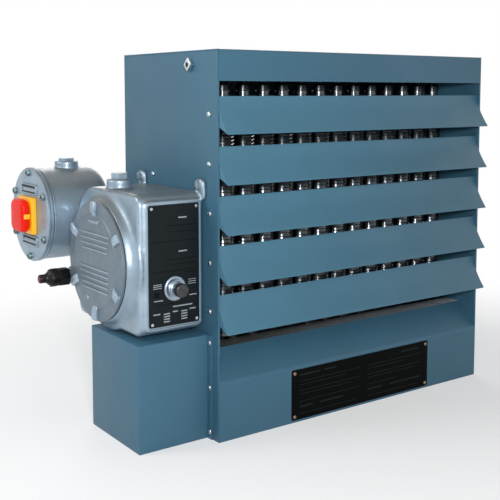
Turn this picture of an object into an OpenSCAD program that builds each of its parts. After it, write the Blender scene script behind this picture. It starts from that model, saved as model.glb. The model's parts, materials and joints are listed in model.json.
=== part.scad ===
// Electric unit heater: a sheet-steel casing with five louvers in front of a finned-tube core,
// a fan and motor behind it, and cast control and switch enclosures on its left side.
// The origin is the centre of the casing's base, the louvers face -Y and +Z is up.

/* [Casing] */
// Width of the casing across the louvers
casing_w = 594; // [540:1:760]
// Depth of the casing from front lip to back panel
casing_d = 300; // [290:1:420]
// Height of the casing
casing_h = 610; // [580:1:760]
// Thickness of the casing's sheet steel
sheet_t = 2; // [1.5:0.1:2.6]
// Height of the top panel's front lip
lip_h = 48; // [40:1:60]
// Width of the flanges folded into the casing
flange_w = 18; // [14:1:24]
// Height of the lower front panel's upright face
sill_h = 94; // [92:1:110]
// Rise of the sill's slope above the upright face
sill_rise = 44; // [36:1:50]
// Run of the sill's slope back into the casing
sill_run = 41; // [30:1:50]

/* [Louvers] */
// Distance from the casing's front to the louver pivots
pivot_set = 23.8; // [20:0.2:28]
// Height of the lip's edge above the top pivot
louver_top_gap = 50.8; // [44:0.2:60]
// Height of the bottom pivot above the sill
louver_bottom_gap = 66.4; // [60:0.2:74]
// Rise of a blade's top edge above its pivot
blade_rise = 28; // [22:0.5:30]
// Drop of a blade's tip below its pivot
blade_drop = 29; // [24:0.5:32]
// Reach of a blade's tip in front of its pivot
blade_throw = 45.8; // [38:0.2:50]
// Distance from the pivot to the blade's top edge, measured forward
blade_set = 17.8; // [14:0.2:20]
// Thickness of a blade's sheet
blade_t = 1.4; // [1:0.1:2]
// Thickness of a blade's end ears
ear_t = 1.6; // [1.2:0.1:2.4]
// Radius of a pivot screw's shank
pivot_r = 2.5; // [2:0.1:3]
// Radius of a pivot screw's head
pivot_head_r = 4.4; // [4:0.1:5.5]

/* [Core] */
// Spacing of the finned tubes
tube_pitch = 41; // [39.5:0.5:48]
// Outer radius of a tube
tube_r = 11; // [10:0.5:13]
// Wall of a tube
tube_wall = 2; // [1.5:0.1:3]
// Outer radius of the fins
fin_r = 18.5; // [15:0.5:19.5]
// Thickness of a fin
fin_t = 1.6; // [1:0.1:2.5]
// Spacing of the fins along a tube
fin_pitch = 16; // [12:1:26]
// Distance from the casing's front to the tubes' centres
core_set = 95; // [90:1:105]
// Depth of the upper header
top_header_d = 50; // [44:1:60]
// Height of the upper header
top_header_h = 38; // [30:1:42]
// Side of the square lower header
low_header_s = 76; // [70:1:84]
// Wall of both headers
header_wall = 3; // [2:0.5:4]
// Outer radius of the heater's neck and flange joint
neck_r = 38; // [34:1:42]
// Radius of the heater flange
heater_flange_r = 60; // [58:1:64]
// Thickness of the heater flange
heater_flange_t = 12; // [8:1:14]

/* [Fan and motor] */
// Height of the fan's axis above the base
fan_z = 330; // [300:1:345]
// Radius of the fan
fan_r = 195; // [150:1:196]
// Radial gap between fan and shroud
fan_gap = 8; // [5:1:12]
// Angle of the fan blades from the fan's plane
blade_pitch_angle = 25; // [15:1:28]
// Chord of a fan blade
fan_chord = 108; // [80:1:112]
// Radius of the motor shaft
shaft_r = 6.35; // [5:0.05:8]
// Radius of the motor housing
motor_r = 80; // [76:1:86]
// Length of the motor housing
motor_len = 100; // [96:1:120]

/* [Control enclosure] */
// Reach of the enclosure from the casing's side
enc_w = 112; // [106:1:130]
// Length of the enclosure from front to back
enc_d = 215; // [212:1:240]
// Height of the enclosure
enc_h = 217; // [212:1:230]
// Distance from the casing's front to the enclosure's front
enc_set = 40; // [30:1:45]
// Wall of the enclosure
enc_wall = 8; // [6:0.5:10]
// Corner radius of the enclosure
enc_round = 16; // [12:1:20]
// Radius of the enclosure's upper corner at the back
enc_back_round = 60; // [40:1:64]
// Radius of the round threaded cover
cover_r = 95.5; // [92:0.5:98]
// Thickness of the round threaded cover's rim
cover_t = 5; // [4:0.5:8]
// Width of the control label plate
label_w = 89; // [80:1:92]
// Height of the control label plate
label_h = 187; // [170:1:190]
// Radius of the thermostat knob
knob_r = 11; // [9:0.5:13]

/* [Disconnect switch] */
// Radius of the switch enclosure's flanges
disc_r = 81; // [80:1:84]
// Radius of the switch enclosure's barrel
barrel_r = 79; // [77:1:80]
// Length of the switch enclosure with its cover
disc_len = 123.5; // [120:0.5:150]
// Side of the square switch plate
plate_s = 63; // [58:1:66]
// Height of the red handle
handle_h = 56; // [48:1:60]
// Width of the red handle
handle_w = 54; // [46:1:58]
// Depth of the red handle
handle_d = 18; // [15:1:24]

/* [Lower box] */
// Reach of the lower box from the casing's side
box_w = 124; // [120:1:140]
// Length of the lower box from front to back
box_d = 159.5; // [150:0.5:170]
// Height of the lower box
box_h = 167; // [164:1:180]
// Distance from the casing's front to the lower box
box_set = 28.5; // [26:0.5:32]

/* [Hidden] */
$fn = 64;

// Clearances and overruns
cut = 1;
bolt_play = 0.1;
run_play = 0.08;
ear_play = 0.2;
moving_gap = 0.5;

// Casing
left_x = -casing_w / 2;
front_y = -casing_d / 2;
back_y = casing_d / 2;
inner_x = casing_w / 2 - sheet_t;
side_h = casing_h - sheet_t;
lip_z = casing_h - lip_h;
sill_z = sill_h + sill_rise;
sill_y = front_y + sill_run;
sill_angle = atan2(sill_run, sill_rise);

// Louvers
louver_count = 5;
louver_pitch = (lip_z - sill_z - louver_top_gap - louver_bottom_gap) / (louver_count - 1);
pivot_y = front_y + pivot_set;
function pivot_z(i) = lip_z - louver_top_gap - i * louver_pitch;
washer_t = 1;
washer_r = 5;
lock_nut_t = 3;
lock_nut_r = 4.9;
pivot_head_h = 2.8;
ear_r = 9;
ear_x = inner_x - washer_t - ear_play;
blade_knee_out = 2.4;
blade_knee_up = 2.5;
blade_steps = 8;
blade_top = [-blade_set, blade_rise];
blade_knee = [-blade_set - blade_knee_out, blade_knee_up];
blade_tip = [-blade_throw, -blade_drop];

// Core
core_y = front_y + core_set;
tube_count = floor((2 * inner_x - 2 * fin_r) / tube_pitch) + 1;
function tube_x(i) = (i - (tube_count - 1) / 2) * tube_pitch;
tube_bore_r = tube_r - tube_wall;
low_header_top = sill_z - sheet_t;
low_header_z = low_header_top - low_header_s;
top_header_z = side_h - sheet_t - top_header_h;
tube_len = top_header_z - low_header_top;
fin_start = 6;
fin_end_gap = 22;
fin_count = floor((tube_len - fin_start - fin_end_gap) / fin_pitch);
collar_r = 14;
collar_t = 9;
collar_gap = 7;
neck_z = low_header_z + low_header_s / 2;
neck_wall = 4;
neck_len = 18;
gasket_t = 2;
neck_flange_x = left_x - neck_len - heater_flange_t + sheet_t;
gasket_x = neck_flange_x - gasket_t;
heater_flange_x = gasket_x - heater_flange_t;
heater_bolt_count = 6;
heater_bolt_share = 0.85;
heater_bolt_circle = heater_flange_r * heater_bolt_share;
element_r = 4;
element_ring_r = 18;
element_len = 480;
element_step = 14;
element_count = 3;
housing_r = 40;
housing_wall = 5;
housing_len = 56;
housing_x = heater_flange_x - housing_len;

// Conduit
nipple_r = 13.3;
nipple_wall = 2.8;
nipple_len = 42;
hub_r = 20.5;
hub_h = 16;
plug_len = 14;
plug_head_r = 14.5;
plug_head_h = 9;
nipple_grip = 2;
heater_nipple_share = 0.62;
heater_nipple_x = heater_flange_x - housing_len * heater_nipple_share;

// Hexagon bolts
hex_r = 7.5;
hex_h = 5.3;
hex_shank_r = 4;
hex_edge = 5;

// Fan and motor
fan_set = 32;
shroud_t = 2;
shroud_len = 48;
shroud_lip = 16;
shroud_r = fan_r + fan_gap;
inlet_r = shroud_r + shroud_t;
spider_r = 45;
spider_t = 3;
fan_hub_r = 20;
fan_hub_len = 30;
fan_mid_y = back_y - fan_set;
fan_blade_t = 2.5;
fan_blade_count = 4;
root_share = 0.5;
blank_share = 1.1;
mount_t = 4;
mount_bore_r = 50;
arm_w = 25;
arm_overhang = 44;
arm_r = inlet_r + arm_overhang;
arm_screw_in = 10;
corner_angles = [45, 135, 225, 315];
motor_rim = 16;
motor_flange_r = motor_r + motor_rim;
motor_flange_t = 8;
motor_wall = 8;
motor_y = back_y + mount_t;
bolt_circle_r = motor_flange_r - hex_shank_r - hex_edge;
rotor_r = 42;
rotor_len = 60;
air_gap = 1;
stator_r = motor_r - motor_wall;
stator_len = 58;
bearing_r = 17;
bearing_w = 11;
bearing_boss_r = 24;
bell_len = 40;
bell_wall = 6;
bell_y = motor_y + motor_len;
shaft_tail = 12;
shaft_nose = 5;
rotor_y = motor_y + motor_wall + (motor_len - rotor_len) / 2;
front_bearing_y = motor_y + motor_wall;
rear_bearing_y = bell_y + bell_wall;
guard_gap = 8;
guard_y = back_y + guard_gap;
guard_bar = 3;
guard_overlap = 1;
guard_overhang = 21;
guard_r = inlet_r + guard_overhang;
guard_ring_step = 21;
guard_ring_count = 6;
guard_spokes = 16;
guard_foot = 14;
lead_hub_r = 15;
lead_hub_len = 14;
lead_bore_r = 10;
lead_y = bell_y + (bell_len - motor_wall) / 2;

// Enclosure
enc_gap = 3;
box_gap = 8;
enc_x1 = left_x - enc_gap;
enc_x0 = enc_x1 - enc_w;
enc_y0 = front_y + enc_set;
enc_y1 = enc_y0 + enc_d;
enc_z0 = box_h + box_gap;
enc_z1 = enc_z0 + enc_h;
enc_mid_y = enc_y0 + enc_d / 2;
enc_mid_z = enc_z0 + enc_h / 2;
cover_drop = 4;
cover_z = enc_mid_z - cover_drop;
collar_ring_t = 15;
collar_margin = 1.5;
collar_foot_r = enc_h / 2 - cover_drop - collar_margin;
collar_ring_r = cover_r;
cover_thread_step = 13;
cover_plug_r = cover_r - cover_thread_step;
cover_plug_len = 29;
cover_x0 = enc_x0 - collar_ring_t - cover_t;
lug_count = 6;
lug_w = 14;
lug_in = 20;
lug_edge = 1;
lug_proud = 5;
cover_face_r = cover_r - lug_in;
cover_face_proud = 1.5;
lug_crest_share = 0.5;
rim_t = 2.5;
rim_margin = 4;
label_t = 1.5;
label_shift_x = 4.5;
label_shift_z = -1.5;
label_mid_x = enc_x1 - enc_w / 2 + label_shift_x;
label_mid_z = enc_mid_z + label_shift_z;
label_screw_in = 5;
label_screw_r = 2.6;
label_screw_h = 1.4;
ear_bolt_w = 22;
ear_bolt_rise = 10;
ear_plate_t = 6;
ear_bolt_front = 3;
ear_bolt_back = 24;
ear_drops = [14, 36];
low_bolt_share = 0.12;
low_bolt_rise = 27;
low_bolt_z = enc_z0 + low_bolt_rise;
hub_set = 27;
conduit_x = enc_x0 + hub_set;
hub_shift_y = 4.5;
hub_y = enc_mid_y + hub_shift_y;
heater_nipple_z = enc_z0 + enc_wall + nipple_grip - nipple_len;
enclosure_nipple_y = enc_y1 - enc_wall - nipple_grip;
housing_drop = 13;
housing_top_z = enc_z0 - housing_drop;
boss_r = 19;
boss_out = 3;

// Thermostat
knob_shift_x = 0.5;
knob_rise = 70.5;
knob_x = label_mid_x + knob_shift_x;
knob_z = enc_z0 + knob_rise;
stem_r = 3;
nose_r = 5.5;
bezel_r = 19.5;
bezel_h = 12;
bezel_outline_shares = [[1, 0], [1, 0.2], [0.86, 0.34], [0.5, 0.5], [0.4, 1]];
knob_len = 12;
knob_y = enc_y0 - label_t - bezel_h - moving_gap;
thermo_r = 20;
thermo_len = 45;

// Contents of the enclosure
contactor_size = [60, 70, 80];
transformer_size = [55, 60, 56];
block_size = [32, 26, 130];
contents_gap = 12;
inside_x1 = enc_x1 - enc_wall;

// Disconnect switch
disc_back = 88;
disc_rise = 159.5;
disc_out = 48.5;
disc_y = enc_y1 + disc_back;
disc_z = enc_z0 + disc_rise;
disc_x0 = enc_x0 - disc_out;
disc_cover_t = 12;
disc_flange_t = 12;
disc_wall = 12;
disc_end_round = 20;
disc_barrel_x = disc_x0 + disc_cover_t;
disc_end_x = disc_x0 + disc_len;
disc_boss_gap = 7;
disc_boss_y = enc_y1 + disc_boss_gap;
disc_boss_share = 0.75;
disc_bolt_in = 8.5;
disc_bolt_circle = disc_r - disc_bolt_in;
disc_bolt_count = 6;
disc_bolt_r = 6;
disc_bolt_h = 5;
disc_shank_r = 3;
disc_shank_len = 20;
disc_hub_in = 69.5;
disc_hub_x = disc_x0 + disc_hub_in;
disc_hub_h = 7;
disc_hub_top = barrel_r + disc_hub_h;
pad_w = 64;
pad_h = 16;
pad_t = 2.5;
pad_rim = 3;
pad_gap = 5;
plate_t = 9;
switch_shaft_r = 4;
handle_round = 14;
handle_shaft_len = 14;
switch_block_s = 60;
switch_block_len = 70;
shaft_grip = 12;
handle_x1 = disc_x0 - plate_t - moving_gap;
switch_block_x = disc_end_x - disc_wall - switch_block_len;

// Gland
gland_out = 7;
gland_rise = 61.7;
gland_y = enc_y1 + gland_out;
gland_z = enc_z0 + gland_rise;
gland_boss_r = 16;
gland_boss_out = 12;
gland_boss_in = 32;
gland_bore_r = 8;
gland_collar_r = 9;
gland_collar_t = 4;
gland_hex_r = 15.7;
gland_hex_t = 19;
gland_dome_len = 32;
gland_plug_r = 4.5;
gland_plug_proud = 1;
gland_outline_shares = [
  [0.92, 0], [0.92, 0.3], [0.86, 0.44], [0.56, 0.6], [0.47, 0.7], [0.47, 1]
];
gland_x1 = enc_x0 - gland_boss_out;
gland_x0 = gland_x1 - gland_collar_t - gland_hex_t;

// Sheet screws
screw_r = 2;
screw_head_r = 4.2;
screw_head_h = 2.6;
screw_len = 8;
end_screw_rise = 12;
side_screw_set = 199;
side_screw_y = front_y + side_screw_set;
side_screw_z = 407;
back_screw_in = 10;
back_screw_rows = 4;
plug_share = 0.7;
plug_x = inner_x * plug_share;

// Lifting nuts
nut_set = 75;
nut_drop = 22.3;
nut_y = front_y + nut_set;
nut_z = casing_h - nut_drop;
nut_half = 7.6;
nut_t = 8;
nut_bore_r = 4;
nut_hole_r = 5.2;
pilot_r = 2.2;
pilot_set = 79.3;
pilot_drop = 9.4;
pilot_y = front_y + pilot_set;
pilot_z = casing_h - pilot_drop;

// Nameplate
name_w = 318;
name_h = 85;
name_t = 1.2;
name_shift = 5.8;
name_z = 4;
rivet_r = 3.2;
rivet_h = 1.5;
rivet_in = 6;
rivet_shank_r = 1.6;

// Helpers
function arc(c, r, a0, a1, n) = [
  for (i = [0:n]) c + r * [cos(a0 + (a1 - a0) * i / n), sin(a0 + (a1 - a0) * i / n)]
];

// A rounded rectangle whose first corner has a radius of its own
function round_rect(w, h, r, n = 6, r1 = undef) = let (q = r1 == undef ? r : r1) concat(
  arc([w / 2 - q, h / 2 - q], q, 0, 90, n),
  arc([r - w / 2, h / 2 - r], r, 90, 180, n),
  arc([r - w / 2, r - h / 2], r, 180, 270, n),
  arc([w / 2 - r, r - h / 2], r, 270, 360, n)
);

module box(x0, x1, y0, y1, z0, z1) {
  translate([x0, y0, z0]) cube([x1 - x0, y1 - y0, z1 - z0]);
}

module rod_x(r, x0, x1, y, z) {
  translate([x0, y, z]) rotate([0, 90, 0]) cylinder(r = r, h = x1 - x0);
}

module rod_y(r, y0, y1, x, z) {
  translate([x, y0, z]) rotate([-90, 0, 0]) cylinder(r = r, h = y1 - y0);
}

module rod_z(r, z0, z1, x, y) {
  translate([x, y, z0]) cylinder(r = r, h = z1 - z0);
}

// An outline drawn in Y and Z, run along X
module along_x(x0, x1) {
  translate([x0, 0, 0]) rotate([90, 0, 90]) linear_extrude(height = x1 - x0) children();
}

// An outline drawn in X and Z, run along Y
module along_y(y0, y1) {
  translate([0, y1, 0]) rotate([90, 0, 0]) linear_extrude(height = y1 - y0) children();
}

// A profile of radius and reach, turned about an axis that points along -X from x1
module turned_x(x1, y, z) {
  translate([x1, y, z]) rotate([0, -90, 0]) rotate_extrude() children();
}

// A profile of radius and reach, turned about an axis that points along +Y from y0
module turned_y(y0, x, z) {
  translate([x, y0, z]) rotate([-90, 0, 0]) rotate_extrude() children();
}

// Both sides of the casing
module both_sides() {
  children();
  mirror([1, 0, 0]) children();
}

// Casing
module side_panel() {
  difference() {
    union() {
      box(left_x, -inner_x, front_y, back_y, 0, side_h);
      box(-inner_x, flange_w - inner_x, back_y - 2 * sheet_t, back_y - sheet_t, sheet_t, side_h);
      box(-inner_x, flange_w - inner_x, front_y + sheet_t, back_y - 2 * sheet_t,
          side_h - sheet_t, side_h);
    }
    for (i = [0:louver_count - 1])
      rod_x(pivot_r + bolt_play, left_x - cut, cut - inner_x, pivot_y, pivot_z(i));
    rod_x(nut_hole_r, left_x - cut, cut - inner_x, nut_y, nut_z);
    rod_x(pilot_r, left_x - cut, cut - inner_x, pilot_y, pilot_z);
    rod_x(screw_r + bolt_play, left_x - cut, cut - inner_x, side_screw_y, side_screw_z);
    for (z = back_screw_zs())
      rod_y(screw_r + bolt_play, back_y - 2 * sheet_t - cut, back_y,
            back_screw_in - inner_x, z);
  }
}
function back_screw_zs() = [
  for (k = [0:back_screw_rows - 1]) flange_w + (side_h - 2 * flange_w) * k / (back_screw_rows - 1)
];

module left_side_panel() {
  color("steelblue") difference() {
    side_panel();
    rod_x(neck_r + bolt_play, left_x - cut, cut - inner_x, core_y, neck_z);
    for (p = ear_bolt_places())
      rod_x(hex_shank_r + bolt_play, left_x - cut, cut - inner_x, p[0], p[1]);
    for (p = end_screw_places())
      rod_x(screw_r + bolt_play, left_x - cut, cut - inner_x, p[0], p[1]);
  }
}

module right_side_panel() {
  color("steelblue") mirror([1, 0, 0]) side_panel();
}

module top_panel() {
  color("steelblue") {
    box(left_x, casing_w / 2, front_y, back_y, side_h, casing_h);
    box(-inner_x, inner_x, front_y, front_y + sheet_t, lip_z, side_h);
  }
}

module back_panel() {
  color("steelblue") difference() {
    box(-inner_x, inner_x, back_y - sheet_t, back_y, sheet_t, side_h);
    rod_y(inlet_r, back_y - sheet_t - cut, back_y + cut, 0, fan_z);
    for (z = back_screw_zs(), side = [-1, 1])
      rod_y(screw_r + bolt_play, back_y - sheet_t - cut, back_y + cut,
            side * (inner_x - back_screw_in), z);
    for (p = mount_screw_places())
      rod_y(screw_r + bolt_play, back_y - sheet_t - cut, back_y + cut, p[0], p[1]);
  }
}

module bottom_pan() {
  color("steelblue") difference() {
    union() {
      box(-inner_x, inner_x, front_y + sheet_t, back_y, 0, sheet_t);
      both_sides()
        box(-inner_x, sheet_t - inner_x, front_y + 2 * sheet_t, back_y - 2 * sheet_t,
            sheet_t, sheet_t + flange_w);
    }
    for (p = end_screw_places())
      rod_x(screw_r + bolt_play, -inner_x - cut, sheet_t - inner_x + cut, p[0], p[1]);
  }
}

module front_lower_panel() {
  color("steelblue") difference() {
    along_x(-inner_x, inner_x) polygon([
      [front_y, 0],
      [front_y, sill_h],
      [sill_y, sill_z],
      [sill_y, sill_z - sheet_t / sin(sill_angle)],
      [front_y + sheet_t, sill_h - sheet_t * tan(sill_angle / 2)],
      [front_y + sheet_t, 0]
    ]);
    for (p = rivet_places())
      rod_y(rivet_shank_r + bolt_play, front_y - cut, front_y + sheet_t + cut, p[0], p[1]);
  }
}

module air_baffle() {
  color("slategray") {
    box(-inner_x, inner_x, sill_y, core_y - fin_r - cut, sill_z - sheet_t, sill_z);
  }
}

module nameplate() {
  color("black") difference() {
    box(name_shift - name_w / 2, name_shift + name_w / 2, front_y - name_t, front_y,
        name_z, name_z + name_h);
    for (p = rivet_places())
      rod_y(rivet_shank_r + bolt_play, front_y - name_t - cut, front_y + cut, p[0], p[1]);
  }
}
function rivet_places() = [
  for (sx = [-1, 1], sz = [-1, 1])
    [name_shift + sx * (name_w / 2 - rivet_in), name_z + name_h / 2 + sz * (name_h / 2 - rivet_in)]
];

module nameplate_rivets() {
  color("peru") for (p = rivet_places()) {
    rod_y(rivet_r, front_y - name_t - rivet_h, front_y - name_t, p[0], p[1]);
    rod_y(rivet_shank_r, front_y - name_t, front_y + 2 * sheet_t, p[0], p[1]);
  }
}

// A pan-head screw whose head rests on x = 0 and whose shank points along +X
module pan_screw(r, head_r, head_h, len) {
  translate([-head_h, 0, 0]) rotate([0, 90, 0]) cylinder(r = head_r, h = head_h);
  rotate([0, 90, 0]) cylinder(r = r, h = len);
}

function end_screw_places() = [
  for (y = [front_y + box_set - flange_w / 3, front_y + box_set + box_d + flange_w / 3])
    for (z = [end_screw_rise, box_h / 2, box_h - end_screw_rise]) [y, z]
];
function mount_screw_places() = [
  for (a = corner_angles) [
    (arm_r - arm_screw_in) * cos(a), fan_z + (arm_r - arm_screw_in) * sin(a)
  ]
];

module panel_screws() {
  color("gainsboro") {
    both_sides() translate([left_x, side_screw_y, side_screw_z])
      pan_screw(screw_r, screw_head_r, screw_head_h, screw_len);
    for (p = end_screw_places()) translate([left_x - sheet_t, p[0], p[1]])
      pan_screw(screw_r, screw_head_r, screw_head_h, screw_len);
    for (z = back_screw_zs(), side = [-1, 1])
      translate([side * (inner_x - back_screw_in), back_y, z]) rotate([0, 0, -90])
        pan_screw(screw_r, screw_head_r, screw_head_h, screw_len);
    for (p = mount_screw_places()) translate([p[0], back_y + mount_t, p[1]]) rotate([0, 0, -90])
      pan_screw(screw_r, screw_head_r, screw_head_h, screw_len);
  }
}

module hanger_nuts() {
  color("silver") both_sides() difference() {
    translate([left_x - nut_t, nut_y, nut_z]) rotate([45, 0, 0])
      box(0, nut_t, -nut_half, nut_half, -nut_half, nut_half);
    rod_x(nut_bore_r, left_x - nut_t - cut, left_x + cut, nut_y, nut_z);
  }
}

// Louvers, drawn about their pivot in Y and Z
function bend(t) = (1 - t) * (1 - t) * blade_top + 2 * t * (1 - t) * blade_knee + t * t * blade_tip;
function slope(t) = 2 * (1 - t) * (blade_knee - blade_top) + 2 * t * (blade_tip - blade_knee);
function inward(t) = let (s = slope(t)) [-s[1], s[0]] / norm(s);
function blade_line() = [for (i = [0:blade_steps]) bend(i / blade_steps)];
function blade_inner() = [
  for (i = [blade_steps:-1:0]) bend(i / blade_steps) + blade_t * inward(i / blade_steps)
];

module louver(i) {
  color("cadetblue") translate([0, pivot_y, pivot_z(i)]) {
    along_x(ear_t - ear_x, ear_x - ear_t) polygon(concat(blade_line(), blade_inner()));
    both_sides() along_x(-ear_x, ear_t - ear_x) difference() {
      polygon(concat(blade_line(), arc([0, 0], ear_r, -75, 75, 10)));
      circle(r = pivot_r + run_play);
    }
  }
}
module louver_1() { louver(0); }
module louver_2() { louver(1); }
module louver_3() { louver(2); }
module louver_4() { louver(3); }
module louver_5() { louver(4); }

module louver_pivot_screws() {
  color("gainsboro") both_sides() for (i = [0:louver_count - 1])
    translate([left_x, pivot_y, pivot_z(i)])
      pan_screw(pivot_r, pivot_head_r, pivot_head_h,
                sheet_t + washer_t + 2 * ear_play + ear_t + lock_nut_t);
}

module louver_washers() {
  color("ivory") both_sides() for (i = [0:louver_count - 1]) difference() {
    rod_x(washer_r, -inner_x, washer_t - inner_x, pivot_y, pivot_z(i));
    rod_x(pivot_r + bolt_play, -inner_x - cut, washer_t - inner_x + cut, pivot_y, pivot_z(i));
  }
}

module louver_lock_nuts() {
  nut_x = ear_t + ear_play - ear_x;
  color("silver") both_sides() for (i = [0:louver_count - 1]) difference() {
    translate([nut_x, pivot_y, pivot_z(i)]) rotate([0, 90, 0])
      cylinder(r = lock_nut_r, h = lock_nut_t, $fn = 6);
    rod_x(pivot_r + bolt_play, nut_x - cut, nut_x + lock_nut_t + cut, pivot_y, pivot_z(i));
  }
}

// Core
function fin_line() = [
  for (i = [0:fin_count - 1]) let (z = fin_start + i * fin_pitch)
    each [[tube_r, z], [fin_r, z], [fin_r, z + fin_t], [tube_r, z + fin_t]]
];

module finned_tubes() {
  collar_z = tube_len - collar_gap - collar_t;
  color("silver") for (i = [0:tube_count - 1])
    translate([tube_x(i), core_y, low_header_top]) rotate_extrude() polygon(concat(
      [[tube_bore_r, 0], [tube_r, 0]],
      fin_line(),
      [[tube_r, collar_z], [collar_r, collar_z], [collar_r, collar_z + collar_t],
       [tube_r, collar_z + collar_t], [tube_r, tube_len], [tube_bore_r, tube_len]]
    ));
}

module top_header() {
  y0 = core_y - top_header_d / 2;
  y1 = core_y + top_header_d / 2;
  z1 = top_header_z + top_header_h;
  color("dimgray") difference() {
    box(-inner_x, inner_x, y0, y1, top_header_z, z1);
    box(header_wall - inner_x, inner_x - header_wall, y0 + header_wall, y1 - header_wall,
        top_header_z + header_wall, z1 - header_wall);
    for (i = [0:tube_count - 1])
      rod_z(tube_bore_r, top_header_z - cut, top_header_z + header_wall + cut,
            tube_x(i), core_y);
  }
}

module ring_x(places_r, n) {
  for (k = [0:n - 1]) rotate([k * 360 / n, 0, 0]) translate([0, 0, places_r]) children();
}

module bottom_header() {
  y0 = core_y - low_header_s / 2;
  y1 = core_y + low_header_s / 2;
  color("dimgray") difference() {
    union() {
      box(-inner_x, inner_x, y0, y1, low_header_z, low_header_top);
      rod_x(neck_r, neck_flange_x, cut - inner_x, core_y, neck_z);
      rod_x(heater_flange_r, neck_flange_x, neck_flange_x + heater_flange_t, core_y, neck_z);
    }
    box(header_wall - inner_x, inner_x - header_wall, y0 + header_wall, y1 - header_wall,
        low_header_z + header_wall, low_header_top - header_wall);
    rod_x(neck_r - neck_wall, neck_flange_x - cut, header_wall + cut - inner_x, core_y, neck_z);
    for (i = [0:tube_count - 1])
      rod_z(tube_bore_r, low_header_top - header_wall - cut, low_header_top + cut,
            tube_x(i), core_y);
    translate([0, core_y, neck_z]) ring_x(heater_bolt_circle, heater_bolt_count)
      rod_x(hex_shank_r + bolt_play, neck_flange_x - cut,
            neck_flange_x + heater_flange_t + cut, 0, 0);
    rod_y(nipple_r + bolt_play, y1 - header_wall - cut, y1 + cut, plug_x, neck_z);
  }
}

module heater_gasket() {
  color("darkgreen") translate([0, core_y, neck_z]) difference() {
    rod_x(heater_flange_r, gasket_x, neck_flange_x, 0, 0);
    rod_x(neck_r - neck_wall, gasket_x - cut, neck_flange_x + cut, 0, 0);
    ring_x(heater_bolt_circle, heater_bolt_count)
      rod_x(hex_shank_r + bolt_play, gasket_x - cut, neck_flange_x + cut, 0, 0);
  }
}

module heater_flange() {
  color("darkgray") translate([0, core_y, neck_z]) difference() {
    rod_x(heater_flange_r, heater_flange_x, gasket_x, 0, 0);
    ring_x(heater_bolt_circle, heater_bolt_count)
      rod_x(hex_shank_r + bolt_play, heater_flange_x - cut, gasket_x + cut, 0, 0);
  }
}

module heater_elements() {
  color("saddlebrown") for (k = [0:element_count - 1])
    translate([0, core_y, neck_z]) rotate([k * 180 / element_count, 0, 0]) {
      x1 = gasket_x + element_len + k * element_step;
      for (side = [-1, 1])
        rod_x(element_r, gasket_x, x1, 0, side * element_ring_r);
      translate([x1, 0, 0]) rotate([90, 0, 0]) rotate([0, 0, -90])
        rotate_extrude(angle = 180) translate([element_ring_r, 0]) circle(r = element_r);
    }
}

module terminal_housing() {
  color("lightsteelblue") difference() {
    union() {
      rod_x(housing_r, housing_x, heater_flange_x, core_y, neck_z);
      rod_z(boss_r, neck_z, housing_top_z, heater_nipple_x, core_y);
    }
    rod_x(housing_r - housing_wall, housing_x + housing_wall, heater_flange_x + cut,
          core_y, neck_z);
    rod_z(nipple_r - nipple_wall, neck_z, housing_top_z, heater_nipple_x, core_y);
    rod_z(nipple_r + bolt_play, heater_nipple_z, housing_top_z + cut, heater_nipple_x, core_y);
  }
}

module heater_end_cover() {
  x0 = left_x - box_w;
  y0 = front_y + box_set;
  y1 = y0 + box_d;
  color("steelblue") difference() {
    union() {
      box(x0, left_x, y0, y1, 0, box_h);
      box(left_x - sheet_t, left_x, y0 - 2 * flange_w / 3, y1 + 2 * flange_w / 3, 0, box_h);
    }
    box(x0 + sheet_t, left_x + cut, y0 + sheet_t, y1 - sheet_t, sheet_t, box_h - sheet_t);
    rod_z(nipple_r + moving_gap, box_h - sheet_t - cut, box_h + cut, heater_nipple_x, core_y);
    for (p = end_screw_places())
      rod_x(screw_r + bolt_play, left_x - sheet_t - cut, left_x + cut, p[0], p[1]);
  }
}

// Fan and motor
module fan_shroud() {
  color("steelblue") turned_y(back_y - sheet_t - shroud_len, 0, fan_z) polygon([
    [shroud_r, 0],
    [inlet_r, 0],
    [inlet_r, shroud_len - sheet_t],
    [inlet_r + shroud_lip, shroud_len - sheet_t],
    [inlet_r + shroud_lip, shroud_len],
    [shroud_r, shroud_len]
  ]);
}

module fan_blades() {
  color("silver") translate([0, fan_mid_y, fan_z]) rotate([90, 0, 0]) {
    difference() {
      cylinder(r = spider_r, h = spider_t, center = true);
      cylinder(r = fan_hub_r, h = spider_t + 2 * cut, center = true);
    }
    intersection() {
      cylinder(r = fan_r, h = fan_chord, center = true);
      for (k = [0:fan_blade_count - 1]) rotate([0, 0, k * 360 / fan_blade_count])
        rotate([blade_pitch_angle, 0, 0]) translate([0, 0, -fan_blade_t / 2])
          linear_extrude(height = fan_blade_t) polygon([
            [spider_r - spider_t, -fan_chord * root_share / 2],
            [fan_r * blank_share, -fan_chord / 2],
            [fan_r * blank_share, fan_chord / 2],
            [spider_r - spider_t, fan_chord * root_share / 2]
          ]);
    }
  }
}

module fan_hub() {
  color("dimgray") difference() {
    rod_y(fan_hub_r, fan_mid_y - fan_hub_len / 2, fan_mid_y + fan_hub_len / 2, 0, fan_z);
    rod_y(shaft_r, fan_mid_y - fan_hub_len, fan_mid_y + fan_hub_len, 0, fan_z);
  }
}

module motor_shaft() {
  color("gray") rod_y(shaft_r, fan_mid_y - fan_hub_len / 2 - shaft_nose,
                      bell_y + bell_len - bell_wall - shaft_tail, 0, fan_z);
}

module motor_rotor() {
  color("dimgray") difference() {
    rod_y(rotor_r, rotor_y, rotor_y + rotor_len, 0, fan_z);
    rod_y(shaft_r, rotor_y - cut, rotor_y + rotor_len + cut, 0, fan_z);
  }
}

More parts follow.
